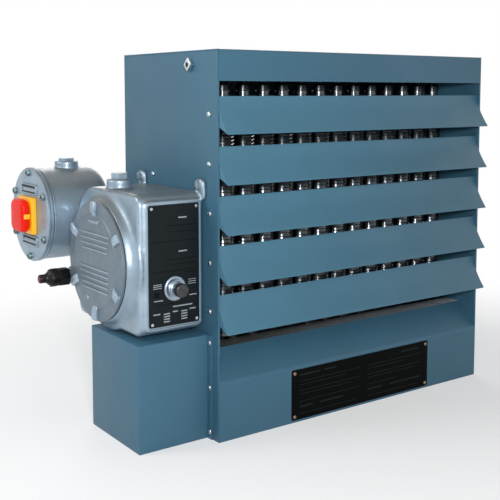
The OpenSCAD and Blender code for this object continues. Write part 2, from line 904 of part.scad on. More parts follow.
module motor_stator() {
  y0 = rotor_y + (rotor_len - stator_len) / 2;
  color("brown") difference() {
    rod_y(stator_r, y0, y0 + stator_len, 0, fan_z);
    rod_y(rotor_r + air_gap, y0 - cut, y0 + stator_len + cut, 0, fan_z);
  }
}

module motor_bearings() {
  color("silver") for (y = [front_bearing_y, rear_bearing_y]) difference() {
    rod_y(bearing_r, y, y + bearing_w, 0, fan_z);
    rod_y(shaft_r + run_play, y - cut, y + bearing_w + cut, 0, fan_z);
  }
}

module motor_housing() {
  color("slategray") difference() {
    union() {
      rod_y(motor_r, motor_y, bell_y, 0, fan_z);
      rod_y(motor_flange_r, motor_y, motor_y + motor_flange_t, 0, fan_z);
    }
    difference() {
      rod_y(stator_r, motor_y + motor_wall, bell_y + cut, 0, fan_z);
      rod_y(bearing_boss_r, motor_y, front_bearing_y + bearing_w, 0, fan_z);
    }
    rod_y(bearing_r + bolt_play / 2, front_bearing_y, front_bearing_y + 2 * bearing_w, 0, fan_z);
    rod_y(shaft_r + moving_gap, motor_y - cut, front_bearing_y + cut, 0, fan_z);
    for (p = motor_bolt_places())
      rod_y(hex_shank_r + bolt_play, motor_y - cut, motor_y + motor_flange_t + cut, p[0], p[1]);
  }
}
function motor_bolt_places() = [
  for (a = corner_angles) [bolt_circle_r * cos(a), fan_z + bolt_circle_r * sin(a)]
];

module motor_end_bell() {
  color("slategray") difference() {
    union() {
      rod_y(motor_r, bell_y, bell_y + bell_len - motor_wall, 0, fan_z);
      turned_y(bell_y + bell_len - motor_wall, 0, fan_z)
        polygon([[0, 0], [motor_r, 0], [motor_r - motor_wall, motor_wall], [0, motor_wall]]);
      rod_z(lead_hub_r, fan_z - motor_r - lead_hub_len, fan_z - motor_r + motor_wall / 2,
            0, lead_y);
    }
    difference() {
      rod_y(stator_r, bell_y - cut, bell_y + bell_len - bell_wall, 0, fan_z);
      rod_y(bearing_boss_r, rear_bearing_y, bell_y + bell_len, 0, fan_z);
    }
    rod_y(bearing_r + bolt_play / 2, bell_y - cut, rear_bearing_y + bearing_w, 0, fan_z);
    rod_y(shaft_r + moving_gap, bell_y, bell_y + bell_len - bell_wall, 0, fan_z);
    rod_z(lead_bore_r, fan_z - motor_r - lead_hub_len - cut, fan_z - stator_r + cut, 0, lead_y);
  }
}

module motor_mount() {
  color("steelblue") difference() {
    union() {
      rod_y(motor_flange_r, back_y, motor_y, 0, fan_z);
      for (a = corner_angles) translate([0, 0, fan_z]) rotate([0, a, 0])
        box(0, arm_r, back_y, motor_y, -arm_w / 2, arm_w / 2);
    }
    rod_y(mount_bore_r, back_y - cut, motor_y + cut, 0, fan_z);
    for (p = motor_bolt_places())
      rod_y(hex_shank_r + bolt_play, back_y - cut, motor_y + cut, p[0], p[1]);
    for (p = mount_screw_places())
      rod_y(screw_r + bolt_play, back_y - cut, motor_y + cut, p[0], p[1]);
  }
}

module fan_guard() {
  inner_r = guard_r - (guard_ring_count - 1) * guard_ring_step - guard_bar / 2;
  spoke_z = guard_bar - guard_overlap;
  color("silver") translate([0, guard_y + guard_bar, fan_z]) rotate([90, 0, 0]) {
    for (k = [0:guard_ring_count - 1]) rotate_extrude()
      translate([guard_r - k * guard_ring_step - guard_bar, 0]) square([guard_bar, guard_bar]);
    for (k = [0:guard_spokes - 1]) rotate([0, 0, k * 360 / guard_spokes])
      translate([inner_r, -guard_bar / 2, spoke_z])
        cube([guard_r - guard_bar / 2 - inner_r, guard_bar, guard_bar]);
    for (a = corner_angles) rotate([0, 0, a])
      translate([guard_r - guard_foot / 2, -guard_foot / 2, guard_overlap])
        cube([guard_foot, guard_foot, guard_gap - mount_t + guard_bar - guard_overlap]);
  }
}

// A hexagon bolt whose head rests on x = 0 and whose shank points along +X
module hex_bolt(len) {
  translate([-hex_h, 0, 0]) rotate([0, 90, 0]) cylinder(r = hex_r, h = hex_h, $fn = 6);
  rotate([0, 90, 0]) cylinder(r = hex_shank_r, h = len);
}

function ear_bolt_places() = concat(
  [for (y = [enc_y0 + ear_bolt_front, enc_y1 - ear_bolt_back]) [y, enc_z1 + ear_bolt_rise]],
  low_bolt_places()
);
function low_bolt_places() = [
  for (s = [low_bolt_share, 1 - low_bolt_share]) [enc_y0 + enc_d * s, low_bolt_z]
];

module hex_bolts() {
  upper = ear_bolt_places();
  color("gainsboro") {
    for (k = [0, 1]) translate([left_x - ear_plate_t, upper[k][0], upper[k][1]])
      hex_bolt(ear_plate_t + sheet_t + cut);
    for (p = low_bolt_places()) translate([enc_x1 - enc_wall, p[0], p[1]])
      hex_bolt(enc_wall + enc_gap + sheet_t + cut);
    translate([heater_flange_x, core_y, neck_z]) ring_x(heater_bolt_circle, heater_bolt_count)
      hex_bolt(2 * heater_flange_t + gasket_t);
    for (p = motor_bolt_places()) translate([p[0], motor_y + motor_flange_t, p[1]])
      rotate([0, 0, -90]) hex_bolt(motor_flange_t + mount_t + cut);
  }
}

// Control enclosure
module enclosure_outline(inset) {
  translate([enc_mid_y, enc_mid_z])
    polygon(round_rect(enc_d - 2 * inset, enc_h - 2 * inset, enc_round - inset / 2, 8,
                       enc_back_round - inset));
}

module enclosure_body() {
  rim_x0 = label_mid_x - label_w / 2 - rim_margin;
  rim_x1 = label_mid_x + label_w / 2 + rim_margin;
  rim_z0 = label_mid_z - label_h / 2 - rim_margin;
  rim_z1 = label_mid_z + label_h / 2 + rim_margin;
  color("lightsteelblue") difference() {
    union() {
      along_x(enc_x0, enc_x1) enclosure_outline(0);
      turned_x(enc_x0 + cut, enc_mid_y, cover_z) polygon([
        [0, 0], [collar_foot_r, 0], [collar_foot_r, cut], [collar_ring_r, collar_ring_t + cut],
        [0, collar_ring_t + cut]
      ]);
      for (k = [0, 1]) let (y = ear_bolt_places()[k][0])
        box(left_x - ear_plate_t, left_x, y - ear_bolt_w / 2, y + ear_bolt_w / 2,
            enc_z1 - ear_drops[k], enc_z1 + 2 * ear_bolt_rise);
      for (p = low_bolt_places())
        rod_x(ear_bolt_w / 2, enc_x1 - cut, left_x, p[0], p[1]);
      rod_z(hub_r, enc_z1 - enc_wall / 2, enc_z1 + hub_h, conduit_x, hub_y);
      rod_y(boss_r, enc_y1 - enc_wall + cut, enc_y1 + boss_out, conduit_x, disc_z);
      rod_x(gland_boss_r, enc_x0 - gland_boss_out, enc_x0 + gland_boss_in, gland_y, gland_z);
      difference() {
        box(rim_x0 - rim_t, rim_x1 + rim_t, enc_y0 - rim_t, enc_y0 + cut,
            rim_z0 - rim_t, rim_z1 + rim_t);
        box(rim_x0, rim_x1, enc_y0 - rim_t - cut, enc_y0, rim_z0, rim_z1);
      }
    }
    along_x(enc_x0 + enc_wall, enc_x1 - enc_wall) enclosure_outline(enc_wall);
    rod_x(cover_plug_r + moving_gap, enc_x0 - collar_ring_t - cut, enc_x0 + enc_wall + cut,
          enc_mid_y, cover_z);
    for (p = ear_bolt_places())
      rod_x(hex_shank_r + bolt_play, enc_x1 - enc_wall - cut, left_x + cut, p[0], p[1]);
    rod_z(nipple_r + bolt_play, enc_z1 - enc_wall - cut, enc_z1 + hub_h + cut, conduit_x, hub_y);
    rod_y(nipple_r + bolt_play, enc_y1 - 2 * enc_wall, enc_y1 + boss_out + cut,
          conduit_x, disc_z);
    rod_z(nipple_r + bolt_play, enc_z0 - cut, enc_z0 + enc_wall + cut, heater_nipple_x, core_y);
    rod_x(gland_bore_r, enc_x0 - gland_boss_out - cut, enc_x0 + gland_boss_in - enc_wall,
          gland_y, gland_z);
    rod_y(gland_bore_r, enc_y1 - enc_wall - cut, gland_y,
          enc_x0 + gland_boss_in - 2 * gland_bore_r, gland_z);
    rod_y(nose_r + bolt_play, enc_y0 - cut, enc_y0 + enc_wall + cut, knob_x, knob_z);
    for (p = label_screw_places())
      rod_y(screw_r + bolt_play, enc_y0 - cut, enc_y0 + enc_wall / 2, p[0], p[1]);
  }
}

module enclosure_cover() {
  color("lightsteelblue") translate([0, enc_mid_y, cover_z]) {
    rod_x(cover_r, cover_x0, enc_x0 - collar_ring_t, 0, 0);
    rod_x(cover_face_r, cover_x0 - cover_face_proud, cover_x0 + cover_t / 2, 0, 0);
    rod_x(cover_plug_r, cover_x0 + cover_t / 2, enc_x0 - collar_ring_t + cover_plug_len, 0, 0);
    ring_x(cover_r, lug_count) rotate([90, 0, 0]) translate([0, 0, -lug_w / 2])
      linear_extrude(height = lug_w) polygon([
        [cover_x0 + cover_t / 2, -lug_in - cut], [cover_x0 - cover_face_proud, -lug_in - cut],
        [cover_x0 - lug_proud, -lug_in * lug_crest_share],
        [cover_x0 - lug_proud, -lug_edge], [cover_x0 + cover_t / 2, -lug_edge]
      ]);
  }
}

function label_screw_places() = [
  for (sx = [-1, 1], sz = [-1, 1]) [
    label_mid_x + sx * (label_w / 2 - label_screw_in),
    label_mid_z + sz * (label_h / 2 - label_screw_in)
  ]
];

module label_plate() {
  color("black") difference() {
    box(label_mid_x - label_w / 2, label_mid_x + label_w / 2, enc_y0 - label_t, enc_y0,
        label_mid_z - label_h / 2, label_mid_z + label_h / 2);
    rod_y(nose_r + bolt_play, enc_y0 - label_t - cut, enc_y0 + cut, knob_x, knob_z);
    for (p = label_screw_places())
      rod_y(screw_r + bolt_play, enc_y0 - label_t - cut, enc_y0 + cut, p[0], p[1]);
  }
}

module label_screws() {
  color("gainsboro") for (p = label_screw_places())
    translate([p[0], enc_y0 - label_t, p[1]]) rotate([0, 0, 90])
      pan_screw(screw_r, label_screw_r, label_screw_h, enc_wall / 2);
}

module thermostat_bezel() {
  color("silver") translate([knob_x, enc_y0 - label_t, knob_z]) rotate([90, 0, 0])
    rotate_extrude() polygon(concat(
      [[nose_r + bolt_play, 0]],
      [for (s = bezel_outline_shares) [bezel_r * s[0], bezel_h * s[1]]],
      [[nose_r + bolt_play, bezel_h]]
    ));
}

module thermostat_knob() {
  color("dimgray") {
    rod_y(knob_r, knob_y - knob_len, knob_y, knob_x, knob_z);
    rod_y(stem_r, knob_y - cut, enc_y0 + enc_wall + thermo_len / 2, knob_x, knob_z);
  }
}

module thermostat_body() {
  color("lightgray") difference() {
    union() {
      rod_y(thermo_r, enc_y0 + enc_wall, enc_y0 + enc_wall + thermo_len, knob_x, knob_z);
      rod_y(nose_r, enc_y0 - label_t - bezel_h / 2, enc_y0 + enc_wall + cut, knob_x, knob_z);
    }
    rod_y(stem_r + run_play, enc_y0 - label_t - bezel_h, enc_y0 + enc_wall + thermo_len / 2 + cut,
          knob_x, knob_z);
  }
}

module contactor() {
  y0 = enc_mid_y - contactor_size[1] / 2 + 2 * contents_gap;
  z1 = enc_z1 - enc_wall - contents_gap;
  color("ivory") {
    box(inside_x1 - contactor_size[0], inside_x1, y0, y0 + contactor_size[1],
        z1 - contactor_size[2], z1);
  }
}

module control_transformer() {
  y0 = enc_mid_y - transformer_size[1] / 2 + contents_gap;
  z0 = enc_z0 + enc_wall + contents_gap;
  color("sienna") {
    box(inside_x1 - transformer_size[0], inside_x1, y0, y0 + transformer_size[1],
        z0, z0 + transformer_size[2]);
  }
}

module terminal_block() {
  y1 = enc_mid_y - contactor_size[1] / 2 + contents_gap;
  z1 = enc_z1 - enc_wall - contents_gap;
  color("dimgray") {
    box(inside_x1 - block_size[0], inside_x1, y1 - block_size[1], y1, z1 - block_size[2], z1);
  }
}

// A pipe plug whose head rests on z = 0 and whose thread points down
module pipe_plug() {
  cylinder(r = plug_head_r, h = plug_head_h, $fn = 6);
  translate([0, 0, -plug_len]) cylinder(r = nipple_r, h = plug_len);
}

module pipe_plugs() {
  color("silver") {
    translate([conduit_x, hub_y, enc_z1 + hub_h]) pipe_plug();
    translate([disc_hub_x, disc_y, disc_z + disc_hub_top]) pipe_plug();
    translate([plug_x, core_y + low_header_s / 2, neck_z]) rotate([-90, 0, 0]) pipe_plug();
  }
}

module conduit_nipples() {
  color("gray") {
    difference() {
      rod_y(nipple_r, enclosure_nipple_y, enclosure_nipple_y + nipple_len, conduit_x, disc_z);
      rod_y(nipple_r - nipple_wall, enc_y1 - nipple_len, enc_y1 + nipple_len, conduit_x, disc_z);
    }
    difference() {
      rod_z(nipple_r, heater_nipple_z, heater_nipple_z + nipple_len,
            heater_nipple_x, core_y);
      rod_z(nipple_r - nipple_wall, heater_nipple_z - cut, heater_nipple_z + 2 * nipple_len,
            heater_nipple_x, core_y);
    }
  }
}

// Disconnect switch
module disc_ring(r) {
  translate([0, disc_y, disc_z]) ring_x(r, disc_bolt_count) children();
}

module disconnect_body() {
  flange_x = disc_barrel_x + disc_flange_t;
  end_len = disc_end_x - disc_barrel_x;
  color("lightsteelblue") difference() {
    union() {
      turned_x(disc_end_x, disc_y, disc_z) polygon(concat(
        [[0, 0]],
        arc([barrel_r - disc_end_round, disc_end_round], disc_end_round, -90, 0, 6),
        [[barrel_r, end_len], [0, end_len]]
      ));
      rod_x(disc_r, disc_barrel_x, flange_x, disc_y, disc_z);
      rod_z(hub_r, disc_z + barrel_r - disc_wall / 2, disc_z + disc_hub_top, disc_hub_x, disc_y);
      rod_y(boss_r, disc_boss_y, disc_y - barrel_r + disc_wall * disc_boss_share, conduit_x, disc_z);
    }
    rod_x(barrel_r - disc_wall, disc_barrel_x - cut, disc_end_x - disc_wall, disc_y, disc_z);
    rod_z(nipple_r + bolt_play, disc_z + barrel_r - 2 * disc_wall, disc_z + disc_hub_top + cut,
          disc_hub_x, disc_y);
    rod_y(nipple_r + bolt_play, disc_boss_y - cut, disc_y - barrel_r + 2 * disc_wall,
          conduit_x, disc_z);
    disc_ring(disc_bolt_circle)
      rod_x(disc_shank_r + bolt_play, disc_barrel_x - cut, disc_x0 + disc_shank_len + cut, 0, 0);
  }
}

module disconnect_cover() {
  color("lightsteelblue") difference() {
    union() {
      rod_x(disc_r, disc_x0, disc_barrel_x, disc_y, disc_z);
      for (side = [-1, 1]) translate([0, disc_y, disc_z + side * (plate_s / 2 + pad_gap + pad_h / 2)])
        difference() {
          box(disc_x0 - pad_t, disc_x0 + cut, -pad_w / 2, pad_w / 2, -pad_h / 2, pad_h / 2);
          box(disc_x0 - pad_t - cut, disc_x0, pad_rim - pad_w / 2, pad_w / 2 - pad_rim,
              pad_rim - pad_h / 2, pad_h / 2 - pad_rim);
        }
    }
    rod_x(switch_shaft_r + run_play, disc_x0 - cut, disc_barrel_x + cut, disc_y, disc_z);
    disc_ring(disc_bolt_circle)
      rod_x(disc_shank_r + bolt_play, disc_x0 - cut, disc_barrel_x + cut, 0, 0);
  }
}

module disconnect_bolts() {
  color("silver") disc_ring(disc_bolt_circle) {
    rod_x(disc_bolt_r, disc_x0 - disc_bolt_h, disc_x0, 0, 0);
    rod_x(disc_shank_r, disc_x0, disc_x0 + disc_shank_len, 0, 0);
  }
}

module switch_plate() {
  color("gold") difference() {
    box(disc_x0 - plate_t, disc_x0, disc_y - plate_s / 2, disc_y + plate_s / 2,
        disc_z - plate_s / 2, disc_z + plate_s / 2);
    rod_x(switch_shaft_r + run_play, disc_x0 - plate_t - cut, disc_x0 + cut, disc_y, disc_z);
  }
}

module switch_handle() {
  color("red") difference() {
    translate([0, disc_y, disc_z]) along_x(handle_x1 - handle_d, handle_x1)
      polygon(round_rect(handle_w, handle_h, handle_round));
    rod_x(switch_shaft_r, handle_x1 - handle_shaft_len, handle_x1 + cut, disc_y, disc_z);
  }
}

module switch_shaft() {
  color("gray") rod_x(switch_shaft_r, handle_x1 - handle_shaft_len, switch_block_x + shaft_grip,
                      disc_y, disc_z);
}

module switch_block() {
  color("dimgray") difference() {
    box(switch_block_x, disc_end_x - disc_wall, disc_y - switch_block_s / 2,
        disc_y + switch_block_s / 2, disc_z - switch_block_s / 2, disc_z + switch_block_s / 2);
    rod_x(switch_shaft_r + run_play, switch_block_x - cut, switch_block_x + shaft_grip + cut,
          disc_y, disc_z);
  }
}

// Gland
module gland_body() {
  color("black") difference() {
    union() {
      rod_x(gland_bore_r - bolt_play, gland_x1 - cut, gland_x1 + gland_boss_out, gland_y, gland_z);
      rod_x(gland_collar_r, gland_x1 - gland_collar_t, gland_x1, gland_y, gland_z);
      translate([gland_x0, gland_y, gland_z]) rotate([0, 90, 0])
        cylinder(r = gland_hex_r, h = gland_hex_t, $fn = 6);
      turned_x(gland_x0, gland_y, gland_z) polygon(concat(
        [[0, 0]],
        [for (s = gland_outline_shares) [gland_hex_r * s[0], gland_dome_len * s[1]]],
        [[0, gland_dome_len]]
      ));
    }
    rod_x(gland_plug_r, gland_x0 - gland_dome_len - cut, gland_x1 + 2 * gland_boss_out,
          gland_y, gland_z);
  }
}

module gland_plug() {
  color("maroon") rod_x(gland_plug_r, gland_x0 - gland_dome_len - gland_plug_proud,
                        gland_x0, gland_y, gland_z);
}

left_side_panel();
right_side_panel();
top_panel();
back_panel();
bottom_pan();
front_lower_panel();
air_baffle();
nameplate();
nameplate_rivets();
panel_screws();
hanger_nuts();
louver_1();
louver_2();
louver_3();
louver_4();
louver_5();
louver_pivot_screws();
louver_washers();
louver_lock_nuts();
finned_tubes();
top_header();
bottom_header();
heater_flange();
heater_gasket();
heater_elements();
terminal_housing();
heater_end_cover();
fan_shroud();
fan_blades();
fan_hub();
motor_shaft();
motor_rotor();
motor_stator();
motor_bearings();
motor_housing();
motor_end_bell();
motor_mount();
fan_guard();
hex_bolts();
enclosure_body();
enclosure_cover();
label_plate();
label_screws();
thermostat_bezel();
thermostat_knob();
thermostat_body();
contactor();
control_transformer();
terminal_block();
pipe_plugs();
conduit_nipples();
disconnect_body();
disconnect_cover();
disconnect_bolts();
switch_plate();
switch_handle();
switch_shaft();
switch_block();
gland_body();
gland_plug();
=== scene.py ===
"""Electric unit heater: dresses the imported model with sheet, castings, louvers and finishes."""

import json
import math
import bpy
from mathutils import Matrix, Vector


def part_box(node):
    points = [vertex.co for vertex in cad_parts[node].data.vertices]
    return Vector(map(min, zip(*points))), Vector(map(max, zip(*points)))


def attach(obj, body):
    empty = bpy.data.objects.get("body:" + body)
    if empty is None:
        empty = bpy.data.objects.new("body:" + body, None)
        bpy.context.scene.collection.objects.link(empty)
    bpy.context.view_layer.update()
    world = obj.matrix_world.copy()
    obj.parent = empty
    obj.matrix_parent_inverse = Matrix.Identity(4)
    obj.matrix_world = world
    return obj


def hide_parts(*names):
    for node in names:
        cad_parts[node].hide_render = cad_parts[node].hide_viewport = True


bl_info = {
    "name": "Electric Unit Heater",
    "version": (1, 0, 0),
    "blender": (4, 5, 0),
    "location": "View3D > Sidebar > Heater",
    "description": "Models the looks of an electric unit heater round its packed CAD frame",
    "category": "Add Mesh",
}

from contextlib import contextmanager

import bmesh
import bpy
from mathutils import Matrix, Vector

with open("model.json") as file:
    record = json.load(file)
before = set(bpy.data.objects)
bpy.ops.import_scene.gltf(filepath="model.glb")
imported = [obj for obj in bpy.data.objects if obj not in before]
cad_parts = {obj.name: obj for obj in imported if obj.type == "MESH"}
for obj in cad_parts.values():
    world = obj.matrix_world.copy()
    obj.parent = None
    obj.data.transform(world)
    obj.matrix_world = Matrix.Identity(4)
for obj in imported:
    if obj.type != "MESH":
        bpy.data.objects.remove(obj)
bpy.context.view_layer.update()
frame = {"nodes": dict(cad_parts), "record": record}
MM = 0.001
# Two points nearer than this, in millimetres, are one
SAME_PLACE = 0.01


def linear(code):
    """A linear RGBA colour from an sRGB hex code."""
    parts = [int(code[i : i + 2], 16) / 255 for i in (1, 3, 5)]
    return [p / 12.92 if p <= 0.04045 else ((p + 0.055) / 1.055) ** 2.4 for p in parts] + [1.0]


def span(node):
    """A CAD node's lowest and highest X, Y and Z in millimetres, as three pairs."""
    low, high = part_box(node)
    return [(low[i] / MM, high[i] / MM) for i in range(3)]


# Places read from the frame, in millimetres
(LEFT, RIGHT), (FRONT, BACK), (LIP_Z, TOP) = span("top_panel")
_, (_, SILL_Y), (_, SILL_Z) = span("front_lower_panel")
FAN_Z = sum(span("fan_guard")[2]) / 2
TUBE_Y = sum(span("finned_tubes")[1]) / 2
COVER_Y, COVER_Z = [sum(span("enclosure_cover")[i]) / 2 for i in (1, 2)]
COVER_R = (span("enclosure_cover")[1][1] - span("enclosure_cover")[1][0]) / 2
LABEL, BARREL, HANDLE = [span(n) for n in ("label_plate", "disconnect_body", "switch_handle")]
KNOB_X, KNOB_Z = [sum(span("thermostat_bezel")[i]) / 2 for i in (0, 2)]
SWITCH_Y, SWITCH_Z = [sum(span("switch_plate")[i]) / 2 for i in (1, 2)]
SWITCH_TOP, SWITCH_X = span("switch_plate")[0]
NUT_Y, NUT_Z = [sum(span("hanger_nuts")[i]) / 2 for i in (1, 2)]
GLAND_Y, GLAND_Z = [sum(span("gland_body")[i]) / 2 for i in (1, 2)]

# The casing's sheet, the folds and hems along its edges, and how far a cut runs past a face
SHEET, OVERRUN = 2.0, 10.0
SILL_BEND_Z, INLET_R = 94.0, 205.0
FOLD_W, HEM_T, HEM_SET, HEM_DEEP, TOP_EDGE_W = 18.0, 1.6, 0.3, 12.0, 2.6
# Screws: head radius and rise, how far they stand from a panel's end, and where the odd ones are
SIDES = ((LEFT, "-x"), (RIGHT, "x"))
SCREW_R, SCREW_RISE, SLOT_HALF, SHANK = 4.2, 2.6, 0.5, 6.0
PIVOT_R, PIVOT_RISE, LABEL_SCREW_R, LABEL_SCREW_RISE = 4.4, 2.8, 2.6, 1.4
END_SET, LABEL_END_SET, SIDE_SCREW, RING_SCREWS_R = 12.0, 5.0, (49.0, 407.0), 239.0
# The hanger nuts: thickness, half width and thread
NUT_T, NUT_HALF, THREAD_R = 8.0, 7.6, 4.0
# The louvers: pivots, the blade's half length and sheet, and its ears
PIVOTS = [(-126.2, 511.2 - 76.7 * i) for i in range(5)]
BLADE_X, BLADE_T = 292.4, 1.4
EAR_T, EAR_R, PIVOT_HOLE_R = 1.6, 9.0, 2.7
# The finned tubes, made one object for every four
TUBE_COUNT, TUBE_PITCH, TUBE_GROUP = 14, 41.0, 4
FINS_Z, FINNED_LENGTH, FIN_DEEP = 142.0, 384.0, 3.0
# The lower box, its two flanges and its sheet
BOX = [(-421.0, -297.0), (-121.5, 38.0), (0.0, 167.0)]
FLANGE_W, BOX_ROUND, BOX_SHEET = 12.0, 1.6, 1.8
# The control enclosure, its ears, hub and round cover
ENC_X, ENC_Y, ENC_Z = (-412.0, -300.0), (-110.0, 105.0), (175.0, 392.0)
ENC_ROUND, ENC_BACK_ROUND, CAST_ROUND = 16.0, 60.0, 5.5
EAR_YS, EAR_FEET, EAR_Z, EAR_HALF, BOLT_BOSS_R = (-107.0, 81.0), (378.0, 356.0), 402.0, 11.0, 10.0
FOOT_YS, FOOT_Z = (-84.2, 79.2), 202.0
HUB, HUB_R, SIDE_BOSS_R = (-385.0, 2.0), 20.5, 19.0
RIM_W, RIM_OUT, WELL_GAP, WELL_DEEP = 6.5, 2.5, 2.5, 8.0
COVER_X, COLLAR_X, COVER_RISE, LUG_W, LUG_OUT = -432.0, -427.0, 6.5, 14.0, 4.8
RIB_HALF, RIB_OUT, RIB_IN = 1.7, 1.8, 0.6
# The thermostat's dial, and its knob in front of it
NOSE_R, DIAL_Y = 6.0, -111.5
KNOB_Y, KNOB_RISE, KNOB_SLOT_DEEP = DIAL_Y - 12.5, 12.0, 1.8
# The disconnect switch, its lid, bolts, pads and handle, and the gland below it
SWITCH_HUB_X, LID_T, BOLT_CIRCLE, HANDLE_SET = -391.0, 12.0, 72.5, 2.5
PAD_RISE, PAD_HALF, PAD_WALL = 44.5, 34.0, 3.0
GLAND_X, GLAND_BORE_R = -447.0, 4.6
# The motor and its guard, behind the back
MOTOR_Y, BELL_Y = BACK + 4.0, BACK + 104.0
GUARD_Y, GUARD_R, GUARD_STEP = BACK + 9.5, 226.0, 21.0

# Bars that stand for print, in millimetres from a plate's lower left corner. Ink stands proud
INK_OUT, INK_IN = 0.15, 0.1
PLATE_CORNER, RIVET_SET = 3.0, 6.0
# The front plate's rows: height above the floor, letter height, and from and to along the row
NAMEPLATE_PRINT = (
    (78, 3.0, [(16, 60), (70, 96), (250, 296)]), (68, 1.2, [(16, 150), (168, 300)]),
    (62, 1.2, [(16, 118), (168, 262)]), (52, 1.2, [(16, 150), (168, 300)]),
    (46, 1.2, [(16, 132), (168, 284)]), (34, 1.2, [(16, 150), (168, 236)]),
    (24, 3.0, [(16, 44), (60, 112), (168, 204), (222, 300)]), (13, 1.2, [(16, 140), (168, 290)]),
)
# The control label's marks, from and to in X and Z, and its long lines, from, to and height
LABEL_MARKS = (
    (52, 67, 165, 167), (52, 67, 113, 115), (7, 22, 65, 66.2), (7, 22, 62.4, 63.4),
    (7, 22, 59.4, 60.4), (69, 83, 61, 62), (69, 83, 64.4, 65.4), (69, 83, 67.8, 68.8),
    (8, 24, 40, 41.4), (71, 84, 43, 44.6), (41, 76, 28, 30), (7, 19, 19, 21), (41, 50, 20, 22),
    (71, 82, 21, 23), *((25, 36, z, z + 2) for z in (6, 10, 14, 18)),
    *((56, 67, z, z + 2) for z in (7, 11, 15, 19)),
)
LABEL_LINES = ((5, 84, 130), (30, 84, 154), (46, 84, 144), (32, 84, 102), (5, 80, 84),
               (36, 84, 94), (6, 50, 34), (60, 84, 80))

# The stage, in metres and watts: each lamp's place, width and power
LAMPS = (
    ("Key", (-1.15, -1.2, 1.15), 0.5, 3), ("Front", (-0.98, -1.36, 0.67), 0.16, 15),
    ("Left", (-1.7, 0.5, 1.3), 0.8, 13), ("Fill", (2.4, -2.2, 1.2), 1.6, 4),
    ("Top", (0.1, 0.5, 2.8), 1.6, 6), ("Rear", (1.2, 2.8, 1.7), 1.8, 24),
)
LAMP_AIM = Vector((-0.15, 0, 0.3))
CAMERA_TURN = (math.radians(-35.44), math.radians(5.27))
CAMERA_TARGET, CAMERA_DISTANCE = Vector((-0.2371, -0.150, 0.41675)), 1.3906


def length_property(label, what, size_mm):
    return bpy.props.FloatProperty(
        name=label, description=what, default=size_mm * MM, min=0.1 * MM, unit="LENGTH")


def colour_property(label, what, code):
    return bpy.props.FloatVectorProperty(
        name=label, description=what, subtype="COLOR", size=4, min=0, max=1, default=linear(code))


class HeaterSizes(bpy.types.PropertyGroup):
    """Sizes of the heater's trim that can be changed by themselves"""

    bend: length_property("Sheet bend", "Radius of the bends in the casing's front sheet", 3.0)
    fin_pitch: length_property("Fin spacing", "Spacing of the fins along a tube", 6.0)
    fin_radius: length_property("Fin radius", "Outer radius of the fins on a tube", 17.5)
    casting_voxel: length_property(
        "Casting detail", "Size of the cells that melt a casting's forms together", 2.0)
    guard_wire: length_property("Guard wire", "Radius of the fan guard's wires", 1.5)


class HeaterColours(bpy.types.PropertyGroup):
    """Colours of the heater's finishes"""

    casing: colour_property("Casing", "Blue-grey enamel on the casing", "#3A6277")
    # A lighter copy of the casing's blue-grey: painted light on the louvers
    louver: colour_property("Louvers", "Blue-grey enamel on the louvers", "#447085")
    casting: colour_property("Castings", "Aluminium-grey paint on the cast enclosures", "#92A5B4")
    plate: colour_property("Plates", "Black of the label plates", "#040505")
    handle: colour_property("Handle", "Red of the switch handle", "#E61A04")
    switch: colour_property("Switch plate", "Yellow of the switch plate", "#FFB91C")
    motor: colour_property("Motor", "Dark blue-grey enamel on the motor", "#3A4C58")


# Finishes


def add(tree, kind, sockets=None, **settings):
    """Adds one shader node with its settings; its sockets take a value or a link."""
    made = tree.nodes.new("ShaderNode" + kind)
    for key, value in settings.items():
        setattr(made, key, value)
    for key, value in (sockets or {}).items():
        if isinstance(value, bpy.types.NodeSocket):
            tree.links.new(value, made.inputs[key])
        else:
            made.inputs[key].default_value = value
    return made


def surface(name, roughness, **shader):
    """An empty material with its shader, and the place on the piece that its patterns read."""
    material = bpy.data.materials.new(name)
    material.use_nodes = True
    tree = material.node_tree
    tree.nodes.clear()
    coat = {key.replace("_", " "): value for key, value in shader.items()}
    bsdf = add(tree, "BsdfPrincipled", {"Roughness": roughness, **coat})
    add(tree, "OutputMaterial", {"Surface": bsdf.outputs[0]})
    place = add(tree, "TexCoord").outputs["Object"]
    return material, tree, bsdf, place


def grain(tree, place, size_mm, detail=2.0, rough=0.5, stretch=None):
    """Noise whose blotches are about size_mm across, as a number from 0 to 1."""
    if stretch:
        place = add(tree, "Mapping", {"Vector": place, "Scale": stretch}).outputs[0]
    return add(tree, "TexNoise", {
        "Vector": place, "Scale": 1 / (size_mm * MM), "Detail": detail, "Roughness": rough,
    }).outputs[0]


def spread(tree, value, low, high):
    """Maps 0.3 to 0.7, where noise mostly lies, to low and high."""
    return add(tree, "MapRange", {
        "Value": value, "From Min": 0.3, "From Max": 0.7, "To Min": low, "To Max": high,
    }).outputs[0]


def tones(tree, value, dark, light):
    """A colour between two, by a value from 0 to 1."""
    return add(tree, "Mix", {
        "Factor": value, 6: dark, 7: light}, data_type="RGBA").outputs[2]


def shade(colour, factor):
    return [min(1.0, c * factor) for c in colour[:3]] + [1.0]


def feed(tree, bsdf, **sources):
    """Links each source to the shader's socket of its name."""
    for socket, source in sources.items():
        tree.links.new(source, bsdf.inputs[socket.replace("_", " ")])


def relief(tree, bsdf, heights):
    """Bumps in turn: each is a height from 0 to 1 with its depth in millimetres."""
    normal = None
    for height, depth_mm in heights:
        sockets = {"Height": height, "Distance": depth_mm * MM, "Strength": 1.0}
        if normal:
            sockets["Normal"] = normal
        normal = add(tree, "Bump", sockets).outputs[0]
    feed(tree, bsdf, Normal=normal)


